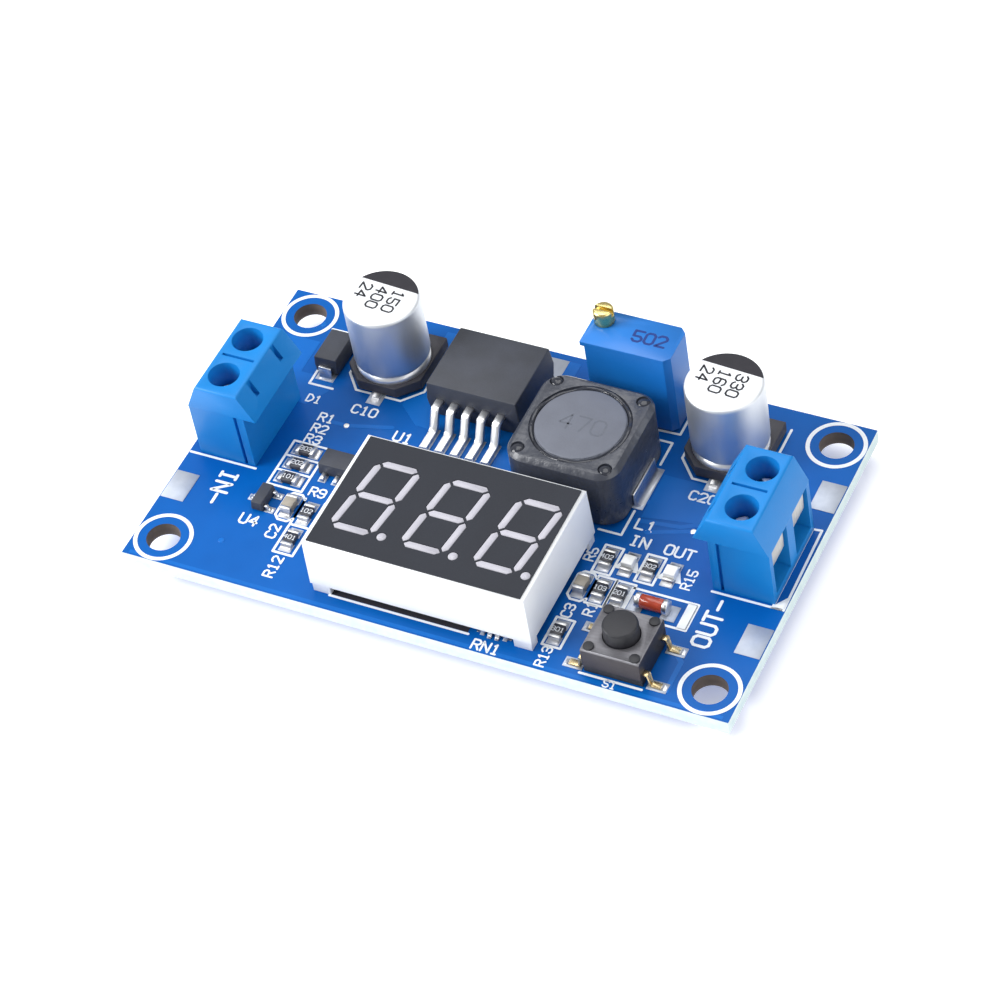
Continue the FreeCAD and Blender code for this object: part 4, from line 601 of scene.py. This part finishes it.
def evaluated(holder):
    """The mesh that an object's modifiers make. The object itself is taken away."""
    bpy.context.view_layer.update()
    view = bpy.context.evaluated_depsgraph_get()
    mesh = bpy.data.meshes.new_from_object(holder.evaluated_get(view), depsgraph=view)
    bpy.data.objects.remove(holder)
    return mesh


def holder_of(mesh):
    """A passing object that holds a mesh while its modifiers are worked out."""
    holder = bpy.data.objects.new("holder", mesh)
    bpy.context.scene.collection.objects.link(holder)
    return holder


def smoothed(mesh, angle=35):
    """Shade a mesh smooth across its shallow edges."""
    mesh.shade_smooth()
    mesh.set_sharp_from_angle(angle=math.radians(angle))
    return mesh


def rounded(node, width, finish_name, segments=2, shrink=0.0):
    """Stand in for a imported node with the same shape, its edges rounded as tooling leaves them.

    What shrink is given draws the upright sides in by that much.
    """
    mesh = merged(node)
    for vertex, normal in zip(mesh.vertices, [item.vector.copy() for item in mesh.vertex_normals]):
        vertex.co -= Vector((normal.x, normal.y, 0)) * shrink * MM
    mesh.shade_smooth()
    holder = holder_of(mesh)
    bevel = holder.modifiers.new("Rounded edges", "BEVEL")
    bevel.width = width * MM
    bevel.segments = segments
    bevel.limit_method = "ANGLE"
    bevel.angle_limit = math.radians(ROUND_ANGLE)
    bevel.harden_normals = True
    return show("dressed_" + node, evaluated(holder), body_of(node), [node], [finish_name])


def lathe(profile, middle, sides):
    """Turn (radius, height) pairs about an upright axis into a closed mesh."""
    build = bmesh.new()
    rings = []
    for radius, height in profile:
        count = sides if radius > 0 else 1
        # The last point, which closes the ring, is the first again.
        points = circle_points(*middle, radius, count)[:count]
        rings.append([build.verts.new(Vector((x, y, height)) * MM) for x, y in points])
    for lower, upper in zip(rings, rings[1:]):
        for k in range(sides):
            corners = [lower[k % len(lower)], lower[(k + 1) % len(lower)], upper[(k + 1) % len(upper)],
                       upper[k % len(upper)]]
            build.faces.new(list(dict.fromkeys(corners)))
    bmesh.ops.recalc_face_normals(build, faces=build.faces)
    mesh = bpy.data.meshes.new("turned")
    build.to_mesh(mesh)
    build.free()
    return smoothed(mesh)


def pattern_of(profile, sides):
    """A turned shape whose profile is given in metres, to be sized where it is repeated."""
    mesh = lathe(profile, (0, 0), sides)
    mesh.transform(Matrix.Scale(1 / MM, 4))
    return mesh


def plate(corners, low, high):
    """A flat closed slab from its outline."""
    build = bmesh.new()
    top = build.faces.new([build.verts.new(Vector((x, y, high)) * MM) for x, y in corners])
    grown = bmesh.ops.extrude_face_region(build, geom=[top])
    moved = [item for item in grown["geom"] if isinstance(item, bmesh.types.BMVert)]
    bmesh.ops.translate(build, verts=moved, vec=(0, 0, (low - high) * MM))
    bmesh.ops.recalc_face_normals(build, faces=build.faces)
    mesh = bpy.data.meshes.new("plate")
    build.to_mesh(mesh)
    build.free()
    return mesh


def joined(meshes):
    """Join plain meshes into one."""
    build = bmesh.new()
    for mesh in meshes:
        build.from_mesh(mesh)
    whole = bpy.data.meshes.new("joined")
    build.to_mesh(whole)
    build.free()
    return whole


def islands(node):
    """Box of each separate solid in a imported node, in millimetres, as (lowest corner, highest corner)."""
    build = bmesh.new()
    build.from_mesh(frame["nodes"][node].data)
    bmesh.ops.remove_doubles(build, verts=build.verts, dist=WELD * MM)
    left = set(build.verts)
    boxes = []
    while left:
        edge_of_search = [left.pop()]
        found = list(edge_of_search)
        while edge_of_search:
            for link in edge_of_search.pop().link_edges:
                for vert in link.verts:
                    if vert in left:
                        left.remove(vert)
                        edge_of_search.append(vert)
                        found.append(vert)
        low = Vector([min(v.co[k] for v in found) for k in range(3)]) / MM
        high = Vector([max(v.co[k] for v in found) for k in range(3)]) / MM
        boxes.append((low, high))
    build.free()
    return sorted(boxes, key=lambda corners: (round(corners[0].x, 2), round(corners[0].y, 2)))


def circle_points(x, y, radius, count=48):
    """A closed ring of points."""
    turns = [2 * math.pi * k / count for k in range(count + 1)]
    return [(x + radius * math.cos(t), y + radius * math.sin(t)) for t in turns]


def about(x, y, outline):
    """An outline moved from the origin to its middle."""
    return [(x + across, y + up) for across, up in outline]


def box_points(x, y, wide, tall):
    """A closed rectangle of points about its middle."""
    return [(x - wide / 2, y - tall / 2), (x + wide / 2, y - tall / 2), (x + wide / 2, y + tall / 2),
            (x - wide / 2, y + tall / 2), (x - wide / 2, y - tall / 2)]


def lettering(text, x, y, turn, height):
    """The strokes of a word about its middle, turned by so many degrees."""
    grid = height / SIGN_TALL
    wide = (SIGN_STEP * len(text) - (SIGN_STEP - SIGN_WIDE)) * grid
    cosine, sine = math.cos(math.radians(turn)), math.sin(math.radians(turn))
    strokes = []
    for number, sign in enumerate(text):
        for row in SIGNS[sign].split():
            points = []
            for column_row in row.split("-"):
                across = (int(column_row[0]) + SIGN_STEP * number) * grid - wide / 2
                up = int(column_row[1]) * grid - height / 2
                points.append((x + across * cosine - up * sine, y + across * sine + up * cosine))
            strokes.append(points)
    return strokes


def ink_tree():
    """Geometry nodes that lay a flat ribbon along every edge, with a round spot at each corner and end."""
    if "Ink along edges" in bpy.data.node_groups:
        return bpy.data.node_groups["Ink along edges"]
    tree = bpy.data.node_groups.new("Ink along edges", "GeometryNodeTree")
    inputs = (("Path", "Geometry"), ("Width", "Float"), ("Thickness", "Float"), ("Finish", "Material"))
    for name, kind in inputs:
        tree.interface.new_socket(name=name, in_out="INPUT", socket_type="NodeSocket" + kind)
    tree.interface.new_socket(name="Print", in_out="OUTPUT", socket_type="NodeSocketGeometry")
    given = add(tree, "NodeGroupInput").outputs
    path = add(tree, "GeometryNodeMeshToCurve", {"Mesh": given["Path"]}).outputs[0]
    level = add(tree, "GeometryNodeSetCurveNormal", {"Curve": path}, mode="Z_UP").outputs[0]
    section = add(tree, "GeometryNodeCurvePrimitiveQuadrilateral",
                  {"Width": given["Width"], "Height": given["Thickness"]}).outputs[0]
    ribbon = add(tree, "GeometryNodeCurveToMesh",
                 {"Curve": level, "Profile Curve": section, "Fill Caps": True})
    radius = add(tree, "ShaderNodeMath", {0: given["Width"], 1: 0.5}, operation="MULTIPLY").outputs[0]
    # A spot is a little thicker than the ribbon, so that their faces don't lie in one plane.
    depth = add(tree, "ShaderNodeMath", {0: given["Thickness"], 1: 1.04}, operation="MULTIPLY").outputs[0]
    spot = add(tree, "GeometryNodeMeshCylinder",
               {"Vertices": 12, "Radius": radius, "Depth": depth}).outputs[0]
    corners = add(tree, "GeometryNodeMergeByDistance",
                  {"Geometry": given["Path"], "Distance": 0.01 * MM}).outputs[0]
    spots = add(tree, "GeometryNodeInstanceOnPoints", {"Points": corners, "Instance": spot}).outputs[0]
    whole = add(tree, "GeometryNodeJoinGeometry")
    tree.links.new(ribbon.outputs[0], whole.inputs[0])
    tree.links.new(spots, whole.inputs[0])
    real = add(tree, "GeometryNodeRealizeInstances", {"Geometry": whole.outputs[0]}).outputs[0]
    inked = add(tree, "GeometryNodeSetMaterial", {"Geometry": real, "Material": given["Finish"]}).outputs[0]
    add(tree, "NodeGroupOutput", {"Print": inked})
    return tree


def through(mesh, tree, **inputs):
    """Run a mesh through a node tree, with the tree's inputs given by name, and give the plain result."""
    holder = holder_of(mesh)
    nodes = holder.modifiers.new(tree.name, "NODES")
    nodes.node_group = tree
    for socket in tree.interface.items_tree:
        key = socket.name.lower().replace(" ", "_")
        if socket.in_out == "INPUT" and key in inputs:
            nodes[socket.identifier] = inputs[key]
    return evaluated(holder)


def ink(paths, level, width, thick, finish_name):
    """Ribbons of ink along rows of points, lying on a level."""
    points, edges = [], []
    for path in paths:
        for first, last in zip(path, path[1:]):
            edges.append((len(points), len(points) + 1))
            points += [Vector((*first, level + thick / 2)) * MM, Vector((*last, level + thick / 2)) * MM]
    mesh = bpy.data.meshes.new("strokes")
    mesh.from_pydata(points, edges, [])
    printed = through(mesh, ink_tree(), width=width * MM, thickness=thick * MM, finish=finish(finish_name))
    printed.shade_flat()
    return printed


def number_on(text, x, y, level, mark, finish_name, turn=0):
    """A number printed on a piece, about its middle."""
    height, stroke, thick = mark
    return ink(lettering(text, x, y, turn, height), level, stroke, thick, finish_name)


def repeat_tree():
    """Geometry nodes that set one piece on every point, turned and sized by the point's own values."""
    if "Piece on points" in bpy.data.node_groups:
        return bpy.data.node_groups["Piece on points"]
    tree = bpy.data.node_groups.new("Piece on points", "GeometryNodeTree")
    for name, kind in (("Places", "Geometry"), ("Piece", "Object"), ("Finish", "Material")):
        tree.interface.new_socket(name=name, in_out="INPUT", socket_type="NodeSocket" + kind)
    tree.interface.new_socket(name="Pieces", in_out="OUTPUT", socket_type="NodeSocketGeometry")
    given = add(tree, "NodeGroupInput").outputs
    turn = add(tree, "GeometryNodeInputNamedAttribute", {"Name": "turn"}, data_type="FLOAT_VECTOR").outputs[0]
    size = add(tree, "GeometryNodeInputNamedAttribute", {"Name": "size"}, data_type="FLOAT_VECTOR").outputs[0]
    angle = add(tree, "FunctionNodeEulerToRotation", {"Euler": turn}).outputs[0]
    piece = add(tree, "GeometryNodeObjectInfo", {"Object": given["Piece"]}).outputs["Geometry"]
    pieces = add(tree, "GeometryNodeInstanceOnPoints",
                 {"Points": given["Places"], "Instance": piece, "Rotation": angle, "Scale": size}).outputs[0]
    real = add(tree, "GeometryNodeRealizeInstances", {"Geometry": pieces}).outputs[0]
    painted = add(tree, "GeometryNodeSetMaterial", {"Geometry": real, "Material": given["Finish"]}).outputs[0]
    add(tree, "NodeGroupOutput", {"Pieces": painted})
    return tree


def repeated(pattern, places, finish_name):
    """Copies of a mesh of unit size at (place, turn in degrees about Z, size in millimetres) triples."""
    mesh = bpy.data.meshes.new("places")
    mesh.from_pydata([Vector(place) * MM for place, turn, size in places], [], [])
    turns = mesh.attributes.new("turn", "FLOAT_VECTOR", "POINT")
    sizes = mesh.attributes.new("size", "FLOAT_VECTOR", "POINT")
    for k, (place, turn, size) in enumerate(places):
        turns.data[k].vector = (0, 0, math.radians(turn))
        sizes.data[k].vector = Vector(size) * MM
    source = holder_of(pattern)
    result = through(mesh, repeat_tree(), piece=source, finish=finish(finish_name))
    bpy.data.objects.remove(source)
    return result


def fillet_pattern():
    """One solder fillet of unit reach, width and height: hollow, and narrower at its toe."""
    build = bmesh.new()
    rows = []
    for along, up in FILLET_CURVE:
        half = 0.5 - FILLET_TAPER * max(along, 0) ** 2
        rows.append([build.verts.new((along, across * half, up * rise)) for across, rise in FILLET_SECTION])
    for near, far in zip(rows, rows[1:]):
        for k in range(len(FILLET_SECTION) - 1):
            build.faces.new((near[k], far[k], far[k + 1], near[k + 1]))
        build.faces.new((near[-1], far[-1], far[0], near[0]))
    build.faces.new(rows[0])
    build.faces.new(list(reversed(rows[-1])))
    tiny = 1e-5
    bmesh.ops.remove_doubles(build, verts=build.verts, dist=tiny)
    bmesh.ops.dissolve_degenerate(build, edges=build.edges, dist=tiny)
    bmesh.ops.recalc_face_normals(build, faces=build.faces)
    mesh = bpy.data.meshes.new("fillet")
    build.to_mesh(mesh)
    build.free()
    return smoothed(mesh, angle=50)


def toes(node, away_from, tall, reach):
    """Fillet places at the outer end of each solid of a node, away from the piece that it serves."""
    places = []
    cores = [(low + high) / 2 for low, high in away_from]
    for low, high in islands(node):
        middle = (low + high) / 2
        core = min(cores, key=lambda point: (point - middle).length)
        step = middle - core
        axis = 0 if abs(step.x) > abs(step.y) else 1
        place = Vector((middle.x, middle.y, PAD_TOP))
        place[axis] = high[axis] if step[axis] > 0 else low[axis]
        turn = 90 * axis - (0 if step[axis] > 0 else 180)
        wide = high[1 - axis] - low[1 - axis]
        places.append((place, turn, (reach, wide, min(tall, high.z - PAD_TOP))))
    return places


class DressBoard(bpy.types.Operator):
    """Give the board its mask, pale cut edges, copper under the mask and bare pads"""

    bl_idname = "converter.board"
    bl_label = "Board"

    def execute(self, context):
        sizes = context.scene.converter_sizes
        mesh = merged("circuit_board")
        for name in ("solder mask", "routed laminate", "drilled laminate"):
            mesh.materials.append(finish(name))
        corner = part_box("circuit_board")[1] / MM
        for face in mesh.polygons:
            middle = face.center / MM
            level = abs(face.normal.z) > 0.5
            outer = abs(middle.x) > corner.x - CUT_BAND or abs(middle.y) > corner.y - CUT_BAND
            # Faces inside the holes take the darker laminate, as painted shade.
            face.material_index = 0 if level else 1 if outer else 2
        show("dressed_circuit_board", mesh, "board", ["circuit_board"])
        rise = sizes.copper_thick
        above = [plate(corners, BOARD_TOP, BOARD_TOP + rise) for corners in POURS_ABOVE]
        above.append(ink(TRACKS_ABOVE, BOARD_TOP, sizes.track_width, rise, "mask over copper"))
        # Below the board the tracks hang under the pour, so that they show on it.
        below = [plate(corners, -rise, 0.0) for corners in POURS_BELOW]
        below.append(ink(TRACKS_BELOW, -2 * rise, sizes.track_width, rise, "mask over copper"))
        show("copper_above", joined(above), "board", finishes=["mask over copper"])
        show("copper_below", joined(below), "board", finishes=["mask over copper"])
        bump = pattern_of(VIA_PROFILE, sides=20)
        size = (sizes.via_radius, sizes.via_radius, sizes.via_rise)
        tented = [((x, y, BOARD_TOP), 0, size) for x, y in TENTED_VIAS]
        tinned = [((x, y, BOARD_TOP), 0, size) for x, y in TINNED_VIAS]
        show("tented_vias", repeated(bump, tented, "mask over copper"), "board")
        show("tinned_vias", repeated(bump, tinned, "levelled tin"), "board")
        rounded("tinned_pads", sizes.pad_edge, "greyed tin", segments=1)
        return {"FINISHED"}


class PrintBoard(bpy.types.Operator):
    """Print the white lines, frames, rings and plain designators on the board"""

    bl_idname = "converter.print"
    bl_label = "Board print"

    def execute(self, context):
        sizes = context.scene.converter_sizes
        frames = list(LINES)
        frames += [box_points(x, y, *CHIP_FRAME_SIZE) for x, y in CHIP_FRAMES]
        frames += [about(x, y, ROUND_FRAME) for x, y in ROUND_FRAMES]
        rings = [circle_points(x, y, sizes.ring_radius) for x in (-HOLE_X, HOLE_X) for y in (-HOLE_Y, HOLE_Y)]
        thick = sizes.ink_thick
        level = BOARD_TOP + sizes.print_lift
        printed = [
            ink(frames, level, sizes.line_width, thick, "screen ink"),
            ink(rings, level, sizes.ring_width, thick, "screen ink"),
            plate(DIODE_BAR, level, level + thick),
            plate(CORNER_MARK, level, level + thick),
        ]
        for word in WORDS:
            printed.append(ink(lettering(*word), level, sizes.stroke_share * word[-1], thick, "screen ink"))
        for low, high in islands("indicator_lamps"):
            middle = (low + high) / 2
            printed.append(plate(about(middle.x, middle.y, LAMP_PATCH), level, level + thick))
        show("board_print", joined(printed), "board", finishes=["screen ink"])
        return {"FINISHED"}


class AddSolder(bpy.types.Operator):
    """Add the solder: fillets at every lead and the joints under the board"""

    bl_idname = "converter.solder"
    bl_label = "Solder"

    def execute(self, context):
        places = []
        for leads, served, tall, reach in FILLETS:
            places += toes(leads, islands(served), tall, reach)
        for low, high in islands("regulator_leads"):
            places.append((((low.x + high.x) / 2, low.y, PAD_TOP), -90, LEAD_TOE_FILLET))
            for side, turn in ((low.x, 180), (high.x, 0)):
                places.append(((side, low.y + LEAD_SIDE_PLACE, PAD_TOP), turn, LEAD_SIDE_FILLET))
        low, high = islands("regulator_tab")[0]
        places.append((((low.x + high.x) / 2, high.y, PAD_TOP), 90, TAB_FILLET))
        show("solder_fillets", repeated(fillet_pattern(), places, "reflowed solder"), "board")
        joints = smoothed(merged("solder_joints"), angle=40)
        show("dressed_solder_joints", joints, "board", ["solder_joints"], ["reflowed solder"])
        return {"FINISHED"}


class DressTerminals(bpy.types.Operator):
    """Round and finish both screw terminals, with their cages, leaves and clamp screws"""

    bl_idname = "converter.terminals"
    bl_label = "Screw terminals"

    def execute(self, context):
        sizes = context.scene.converter_sizes
        for name in ("input", "output"):
            rounded(name + "_terminal_housing", sizes.moulded_edge, "moulded polyamide")
            rounded(name + "_wire_cages", sizes.metal_edge, "nickel-plated steel")
            for number in (1, 2):
                rounded("%s_clamp_leaf_%d" % (name, number), sizes.metal_edge, "nickel-plated steel")
                # The clamp screws' near-white finish is a painted highlight in the dark wells.
                rounded("%s_clamp_screw_%d" % (name, number), sizes.metal_edge, "threaded steel")
        return {"FINISHED"}


class DressCapacitors(bpy.types.Operator):
    """Turn both cans with their rolled beads, and print their tops"""

    bl_idname = "converter.capacitors"
    bl_label = "Electrolytic capacitors"

    def execute(self, context):
        sizes = context.scene.converter_sizes
        for name, numbers in (("input", ("150", "400", "24")), ("output", ("330", "160", "24"))):
            low, high = (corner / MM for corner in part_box(name + "_capacitor_can"))
            x, y, radius = (low.x + high.x) / 2, (low.y + high.y) / 2, (high.x - low.x) / 2
            flat = high.z - CAN_HEAD[-1][1]
            profile = [(0, low.z)]
            profile += [(radius - inset, low.z + rise) for inset, rise in CAN_FOOT]
            profile += [(radius - inset, high.z - drop) for inset, drop in CAN_HEAD]
            profile.append((0, flat))
            mesh = lathe(profile, (x, y), sizes.turned_sides)
            for finish_name in ("drawn aluminium", "coated aluminium", "burnished aluminium"):
                mesh.materials.append(finish(finish_name))
            for face in mesh.polygons:
                height = face.center.z / MM
                if height > high.z - CAN_COAT:
                    face.material_index = 1
                elif height < low.z + CAN_LIP:
                    face.material_index = 2
            show("dressed_%s_capacitor_can" % name, mesh, "board", [name + "_capacitor_can"])
            rounded(name + "_capacitor_base", sizes.moulded_edge, "moulded phenolic")
            rounded(name + "_capacitor_leads", sizes.metal_edge, "tin plate", segments=1)
            edge, steps = radius - MOON_INSET, 40
            start = math.asin(sizes.can_print_place / edge)
            sweep = math.pi - 2 * start
            turns = [sizes.can_print_turn + start + sweep * k / steps for k in range(steps + 1)]
            moon = [(x + edge * math.cos(t), y + edge * math.sin(t)) for t in turns]
            printed = [plate(moon, flat, flat + CAN_MARK[2])]
            turn = math.degrees(sizes.can_print_turn) + CAN_SIGN_TURN
            for text, (across, up) in zip(numbers, CAN_ROWS):
                printed.append(number_on(text, x + across, y + up, flat, CAN_MARK, "stamped ink", turn))
            show(name + "_capacitor_print", joined(printed), "board", finishes=["stamped ink"])
        return {"FINISHED"}


class DressRegulator(bpy.types.Operator):
    """Finish the switching regulator's moulded case, tab and bent leads"""

    bl_idname = "converter.regulator"
    bl_label = "Switching regulator"

    def execute(self, context):
        sizes = context.scene.converter_sizes
        rounded("regulator_body", sizes.moulded_edge, "moulded epoxy")
        rounded("regulator_tab", sizes.metal_edge, "tin plate")
        rounded("regulator_leads", sizes.bent_edge, "tin plate")
        return {"FINISHED"}


class DressInductor(bpy.types.Operator):
    """Finish the inductor's shield and core, and set the glue between them"""

    bl_idname = "converter.inductor"
    bl_label = "Inductor"

    def execute(self, context):
        sizes = context.scene.converter_sizes
        rounded("inductor_shield", sizes.shield_edge, "tumbled ferrite", segments=4)
        rounded("inductor_terminals", sizes.metal_edge, "tin plate")
        paint("inductor_winding", "enamelled copper")
        low, high = (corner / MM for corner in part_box("inductor_core"))
        x, y, top = (low.x + high.x) / 2, (low.y + high.y) / 2, high.z
        rounded("inductor_core", sizes.moulded_edge, "ground ferrite")
        ring = lathe([(radius, top + height) for radius, height in GLUE_RING], (x, y), 2 * sizes.turned_sides)
        for vertex in ring.vertices:
            turn = math.atan2(vertex.co.y - y * MM, vertex.co.x - x * MM)
            if vertex.co.z > (top - GLUE_SKIN) * MM:
                wave = sum(height * math.sin(count * turn + begin) for height, count, begin in GLUE_WAVES)
                vertex.co.z += (wave - GLUE_DROP) * MM
        show("inductor_glue", ring, "board", finishes=["set glue"])
        places = [((x + BEAD_PLACE * a, y + BEAD_PLACE * b, top - BEAD_DEPTH), BEAD_TURN * a, BEAD_SIZE)
                  for a in (-1, 1) for b in (-1, 1)]
        beads = repeated(pattern_of(BEAD_PROFILE, sides=24), places, "set glue")
        show("inductor_glue_beads", beads, "board")
        number = number_on("470", x + INDUCTOR_MARK_SHIFT, y, top, INDUCTOR_MARK, "worn stamp")
        show("inductor_number", number, "board")
        return {"FINISHED"}


class DressTrimmer(bpy.types.Operator):
    """Finish the trimmer's case, brass screw, carriage and element"""

    bl_idname = "converter.trimmer"
    bl_label = "Trimmer"

    def execute(self, context):
        sizes = context.scene.converter_sizes
        rounded("trimmer_housing", sizes.moulded_edge, "moulded polyester")
        rounded("trimmer_screw", sizes.metal_edge, "turned brass")
        rounded("trimmer_carriage", sizes.metal_edge, "moulded acetal")
        rounded("trimmer_pins", sizes.metal_edge, "tin plate", segments=1)
        paint("trimmer_element", "fired alumina")
        paint("trimmer_potting", "casting resin")
        low, high = (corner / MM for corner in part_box("trimmer_housing"))
        place = (high.x - TRIMMER_MARK_INSET, (low.y + high.y) / 2, CASE_TOP)
        show("trimmer_number", number_on("502", *place, TRIMMER_MARK, "burnt mark"), "board")
        return {"FINISHED"}


class DressDisplay(bpy.types.Operator):
    """Finish the voltmeter display: housing, face, bars, backing and pins"""

    bl_idname = "converter.display"
    bl_label = "Voltmeter display"

    def execute(self, context):
        sizes = context.scene.converter_sizes
        rounded("display_housing", sizes.moulded_edge, "reflector plastic")
        paint("display_face", "charcoal film")
        rounded("display_segments", sizes.bar_edge, "milky resin", segments=1, shrink=sizes.bar_gap)
        paint("display_backing", "reflector plastic")
        rounded("display_pins", sizes.metal_edge, "tin plate", segments=1)
        low, high = (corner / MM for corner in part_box("display_housing"))
        level = BOARD_TOP + sizes.print_lift
        left, right, front, back = low.x + GAP_LEFT, high.x - GAP_RIGHT, low.y + GAP_FRONT, low.y + GAP_BACK
        corners = [(left, front), (right, front), (right, back), (left, back)]
        # A dark strip on the board under the housing's front: painted shadow in the gap under the display.
        strip = plate(corners, level, level + sizes.ink_thick)
        show("display_gap_strip", strip, "board", finishes=["stamped ink"])
        return {"FINISHED"}


class DressSwitch(bpy.types.Operator):
    """Finish the press switch: base, steel cover, button, dome and leads"""

    bl_idname = "converter.switch"
    bl_label = "Press switch"

    def execute(self, context):
        sizes = context.scene.converter_sizes
        rounded("switch_base", sizes.metal_edge, "moulded acetal")
        cover = rounded("switch_cover", sizes.metal_edge, "rolled cover steel").data
        cover.materials.append(finish("drawn cover steel"))
        # The cover's upright sides take the darker steel, as painted shade.
        for face in cover.polygons:
            upright = abs(face.normal.z) < 0.3
            face.material_index = 1 if upright else 0
        rounded("switch_button", sizes.moulded_edge, "moulded acetal")
        rounded("switch_leads", sizes.metal_edge, "silvered brass", segments=1)
        dome = show("dressed_switch_dome", smoothed(merged("switch_dome")), body_of("switch_dome"),
                    ["switch_dome"], ["nickel-plated steel"])
        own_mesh(dome)
        return {"FINISHED"}


class DressSmallParts(bpy.types.Operator):
    """Finish the chip parts, diodes, lamps and small packages"""

    bl_idname = "converter.small_parts"
    bl_label = "Small parts"

    def execute(self, context):
        sizes = context.scene.converter_sizes
        packages = ("input_diode", "small_regulator", "small_transistor", "controller")
        for node in ("resistor_ends", "chip_capacitor_ends", "indicator_lamp_ends"):
            rounded(node, sizes.chip_edge, "levelled tin", segments=1)
        for name in packages:
            rounded(name + "_leads", sizes.chip_edge, "tin plate", segments=1)
        for name in packages:
            rounded(name + "_body", sizes.package_edge, "moulded epoxy")
        rounded("resistor_bodies", sizes.chip_edge, "resistor glaze", segments=1)
        rounded("chip_capacitor_bodies", sizes.chip_edge, "fired dielectric", segments=1)
        rounded("indicator_lamps", sizes.package_edge, "lens resin")
        rounded("glass_diode_body", sizes.chip_edge, "orange glass")
        rounded("glass_diode_caps", sizes.package_edge, "tin plate")
        height, stroke, thick = RESISTOR_MARK
        marks = []
        bodies = islands("resistor_bodies")
        for number, (low, high) in enumerate(bodies):
            size, middle = high - low, (low + high) / 2
            if size.x < ARRAY_LENGTH:
                value = "%d0%d" % (1 + number % 4, 1 + number % 3)
                turn = 0 if size.x > size.y - SQUARE_BAND else 90
                marks += lettering(value, middle.x, middle.y, turn, height)
        level = bodies[0][1].z
        show("resistor_numbers", ink(marks, level, stroke, thick, "screen ink"), "board")
        return {"FINISHED"}


class SetStage(bpy.types.Operator):
    """Lay the floor, hang the lights and place the camera"""

    bl_idname = "converter.stage"
    bl_label = "Stage"

    def execute(self, context):
        stage = context.scene.converter_stage
        ground_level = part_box("display_pins")[0].z / MM
        floor = plate(box_points(0, 0, FLOOR_SIDE, FLOOR_SIDE)[:4], ground_level - FLOOR_THICK, ground_level)
        floor.materials.append(finish("matt backdrop"))
        ground = bpy.data.objects.new("floor", floor)
        context.scene.collection.objects.link(ground)
        for name, place, size in LIGHTS:
            lamp = bpy.data.lights.new(name, "AREA")
            lamp.energy = getattr(stage, name + "_power")
            lamp.size = size * MM
            lamp_object = bpy.data.objects.new(name, lamp)
            lamp_object.location = Vector(place) * MM
            lamp_object.rotation_euler = (-Vector(place)).to_track_quat("-Z", "Y").to_euler()
            context.scene.collection.objects.link(lamp_object)
        world = bpy.data.worlds.new("white room")
        world.use_nodes = True
        sky = world.node_tree.nodes["Background"]
        sky.inputs["Color"].default_value = (*linear("#ffffff"), 1)
        sky.inputs["Strength"].default_value = stage.sky
        context.scene.world = world
        context.scene.view_settings.view_transform = "Standard"
        lens = bpy.data.cameras.new("camera")
        lens.lens = stage.focal_length
        lens.sensor_width = SENSOR_WIDTH
        lens.clip_start, lens.clip_end = SIGHT_NEAR, SIGHT_FAR
        camera = bpy.data.objects.new("camera", lens)
        camera.location = Vector(CAMERA_PLACE) * MM
        camera.rotation_euler = [math.radians(angle) for angle in CAMERA_TURN]
        context.scene.collection.objects.link(camera)
        context.scene.camera = camera
        return {"FINISHED"}


STEPS = (DressBoard, PrintBoard, AddSolder, DressTerminals, DressCapacitors, DressRegulator, DressInductor,
         DressTrimmer, DressDisplay, DressSwitch, DressSmallParts, SetStage)


class ConverterPanel(bpy.types.Panel):
    """Settings and steps of the converter module"""

    bl_idname = "VIEW3D_PT_converter"
    bl_label = "Converter module"
    bl_space_type = "VIEW_3D"
    bl_region_type = "UI"
    bl_category = "Converter"

    def draw(self, context):
        scene = context.scene
        for group in (scene.converter_colours, scene.converter_sizes, scene.converter_stage):
            for name in group.__annotations__:
                self.layout.prop(group, name)
        for step in STEPS:
            self.layout.operator(step.bl_idname)


CLASSES = (ConverterColours, ConverterSizes, ConverterStage, *STEPS, ConverterPanel)


def register():
    """Register the classes and hang the settings on the scene."""
    for item in CLASSES:
        bpy.utils.register_class(item)
    bpy.types.Scene.converter_colours = PointerProperty(type=ConverterColours)
    bpy.types.Scene.converter_sizes = PointerProperty(type=ConverterSizes)
    bpy.types.Scene.converter_stage = PointerProperty(type=ConverterStage)


def unregister():
    """Take the settings and the classes away again."""
    del bpy.types.Scene.converter_stage
    del bpy.types.Scene.converter_sizes
    del bpy.types.Scene.converter_colours
    for item in reversed(CLASSES):
        bpy.utils.unregister_class(item)


def main():
    """Dress the module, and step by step."""
    register()
    for step in STEPS:
        getattr(bpy.ops.converter, step.bl_idname.split(".")[1])()


if __name__ == "__main__":
    main()
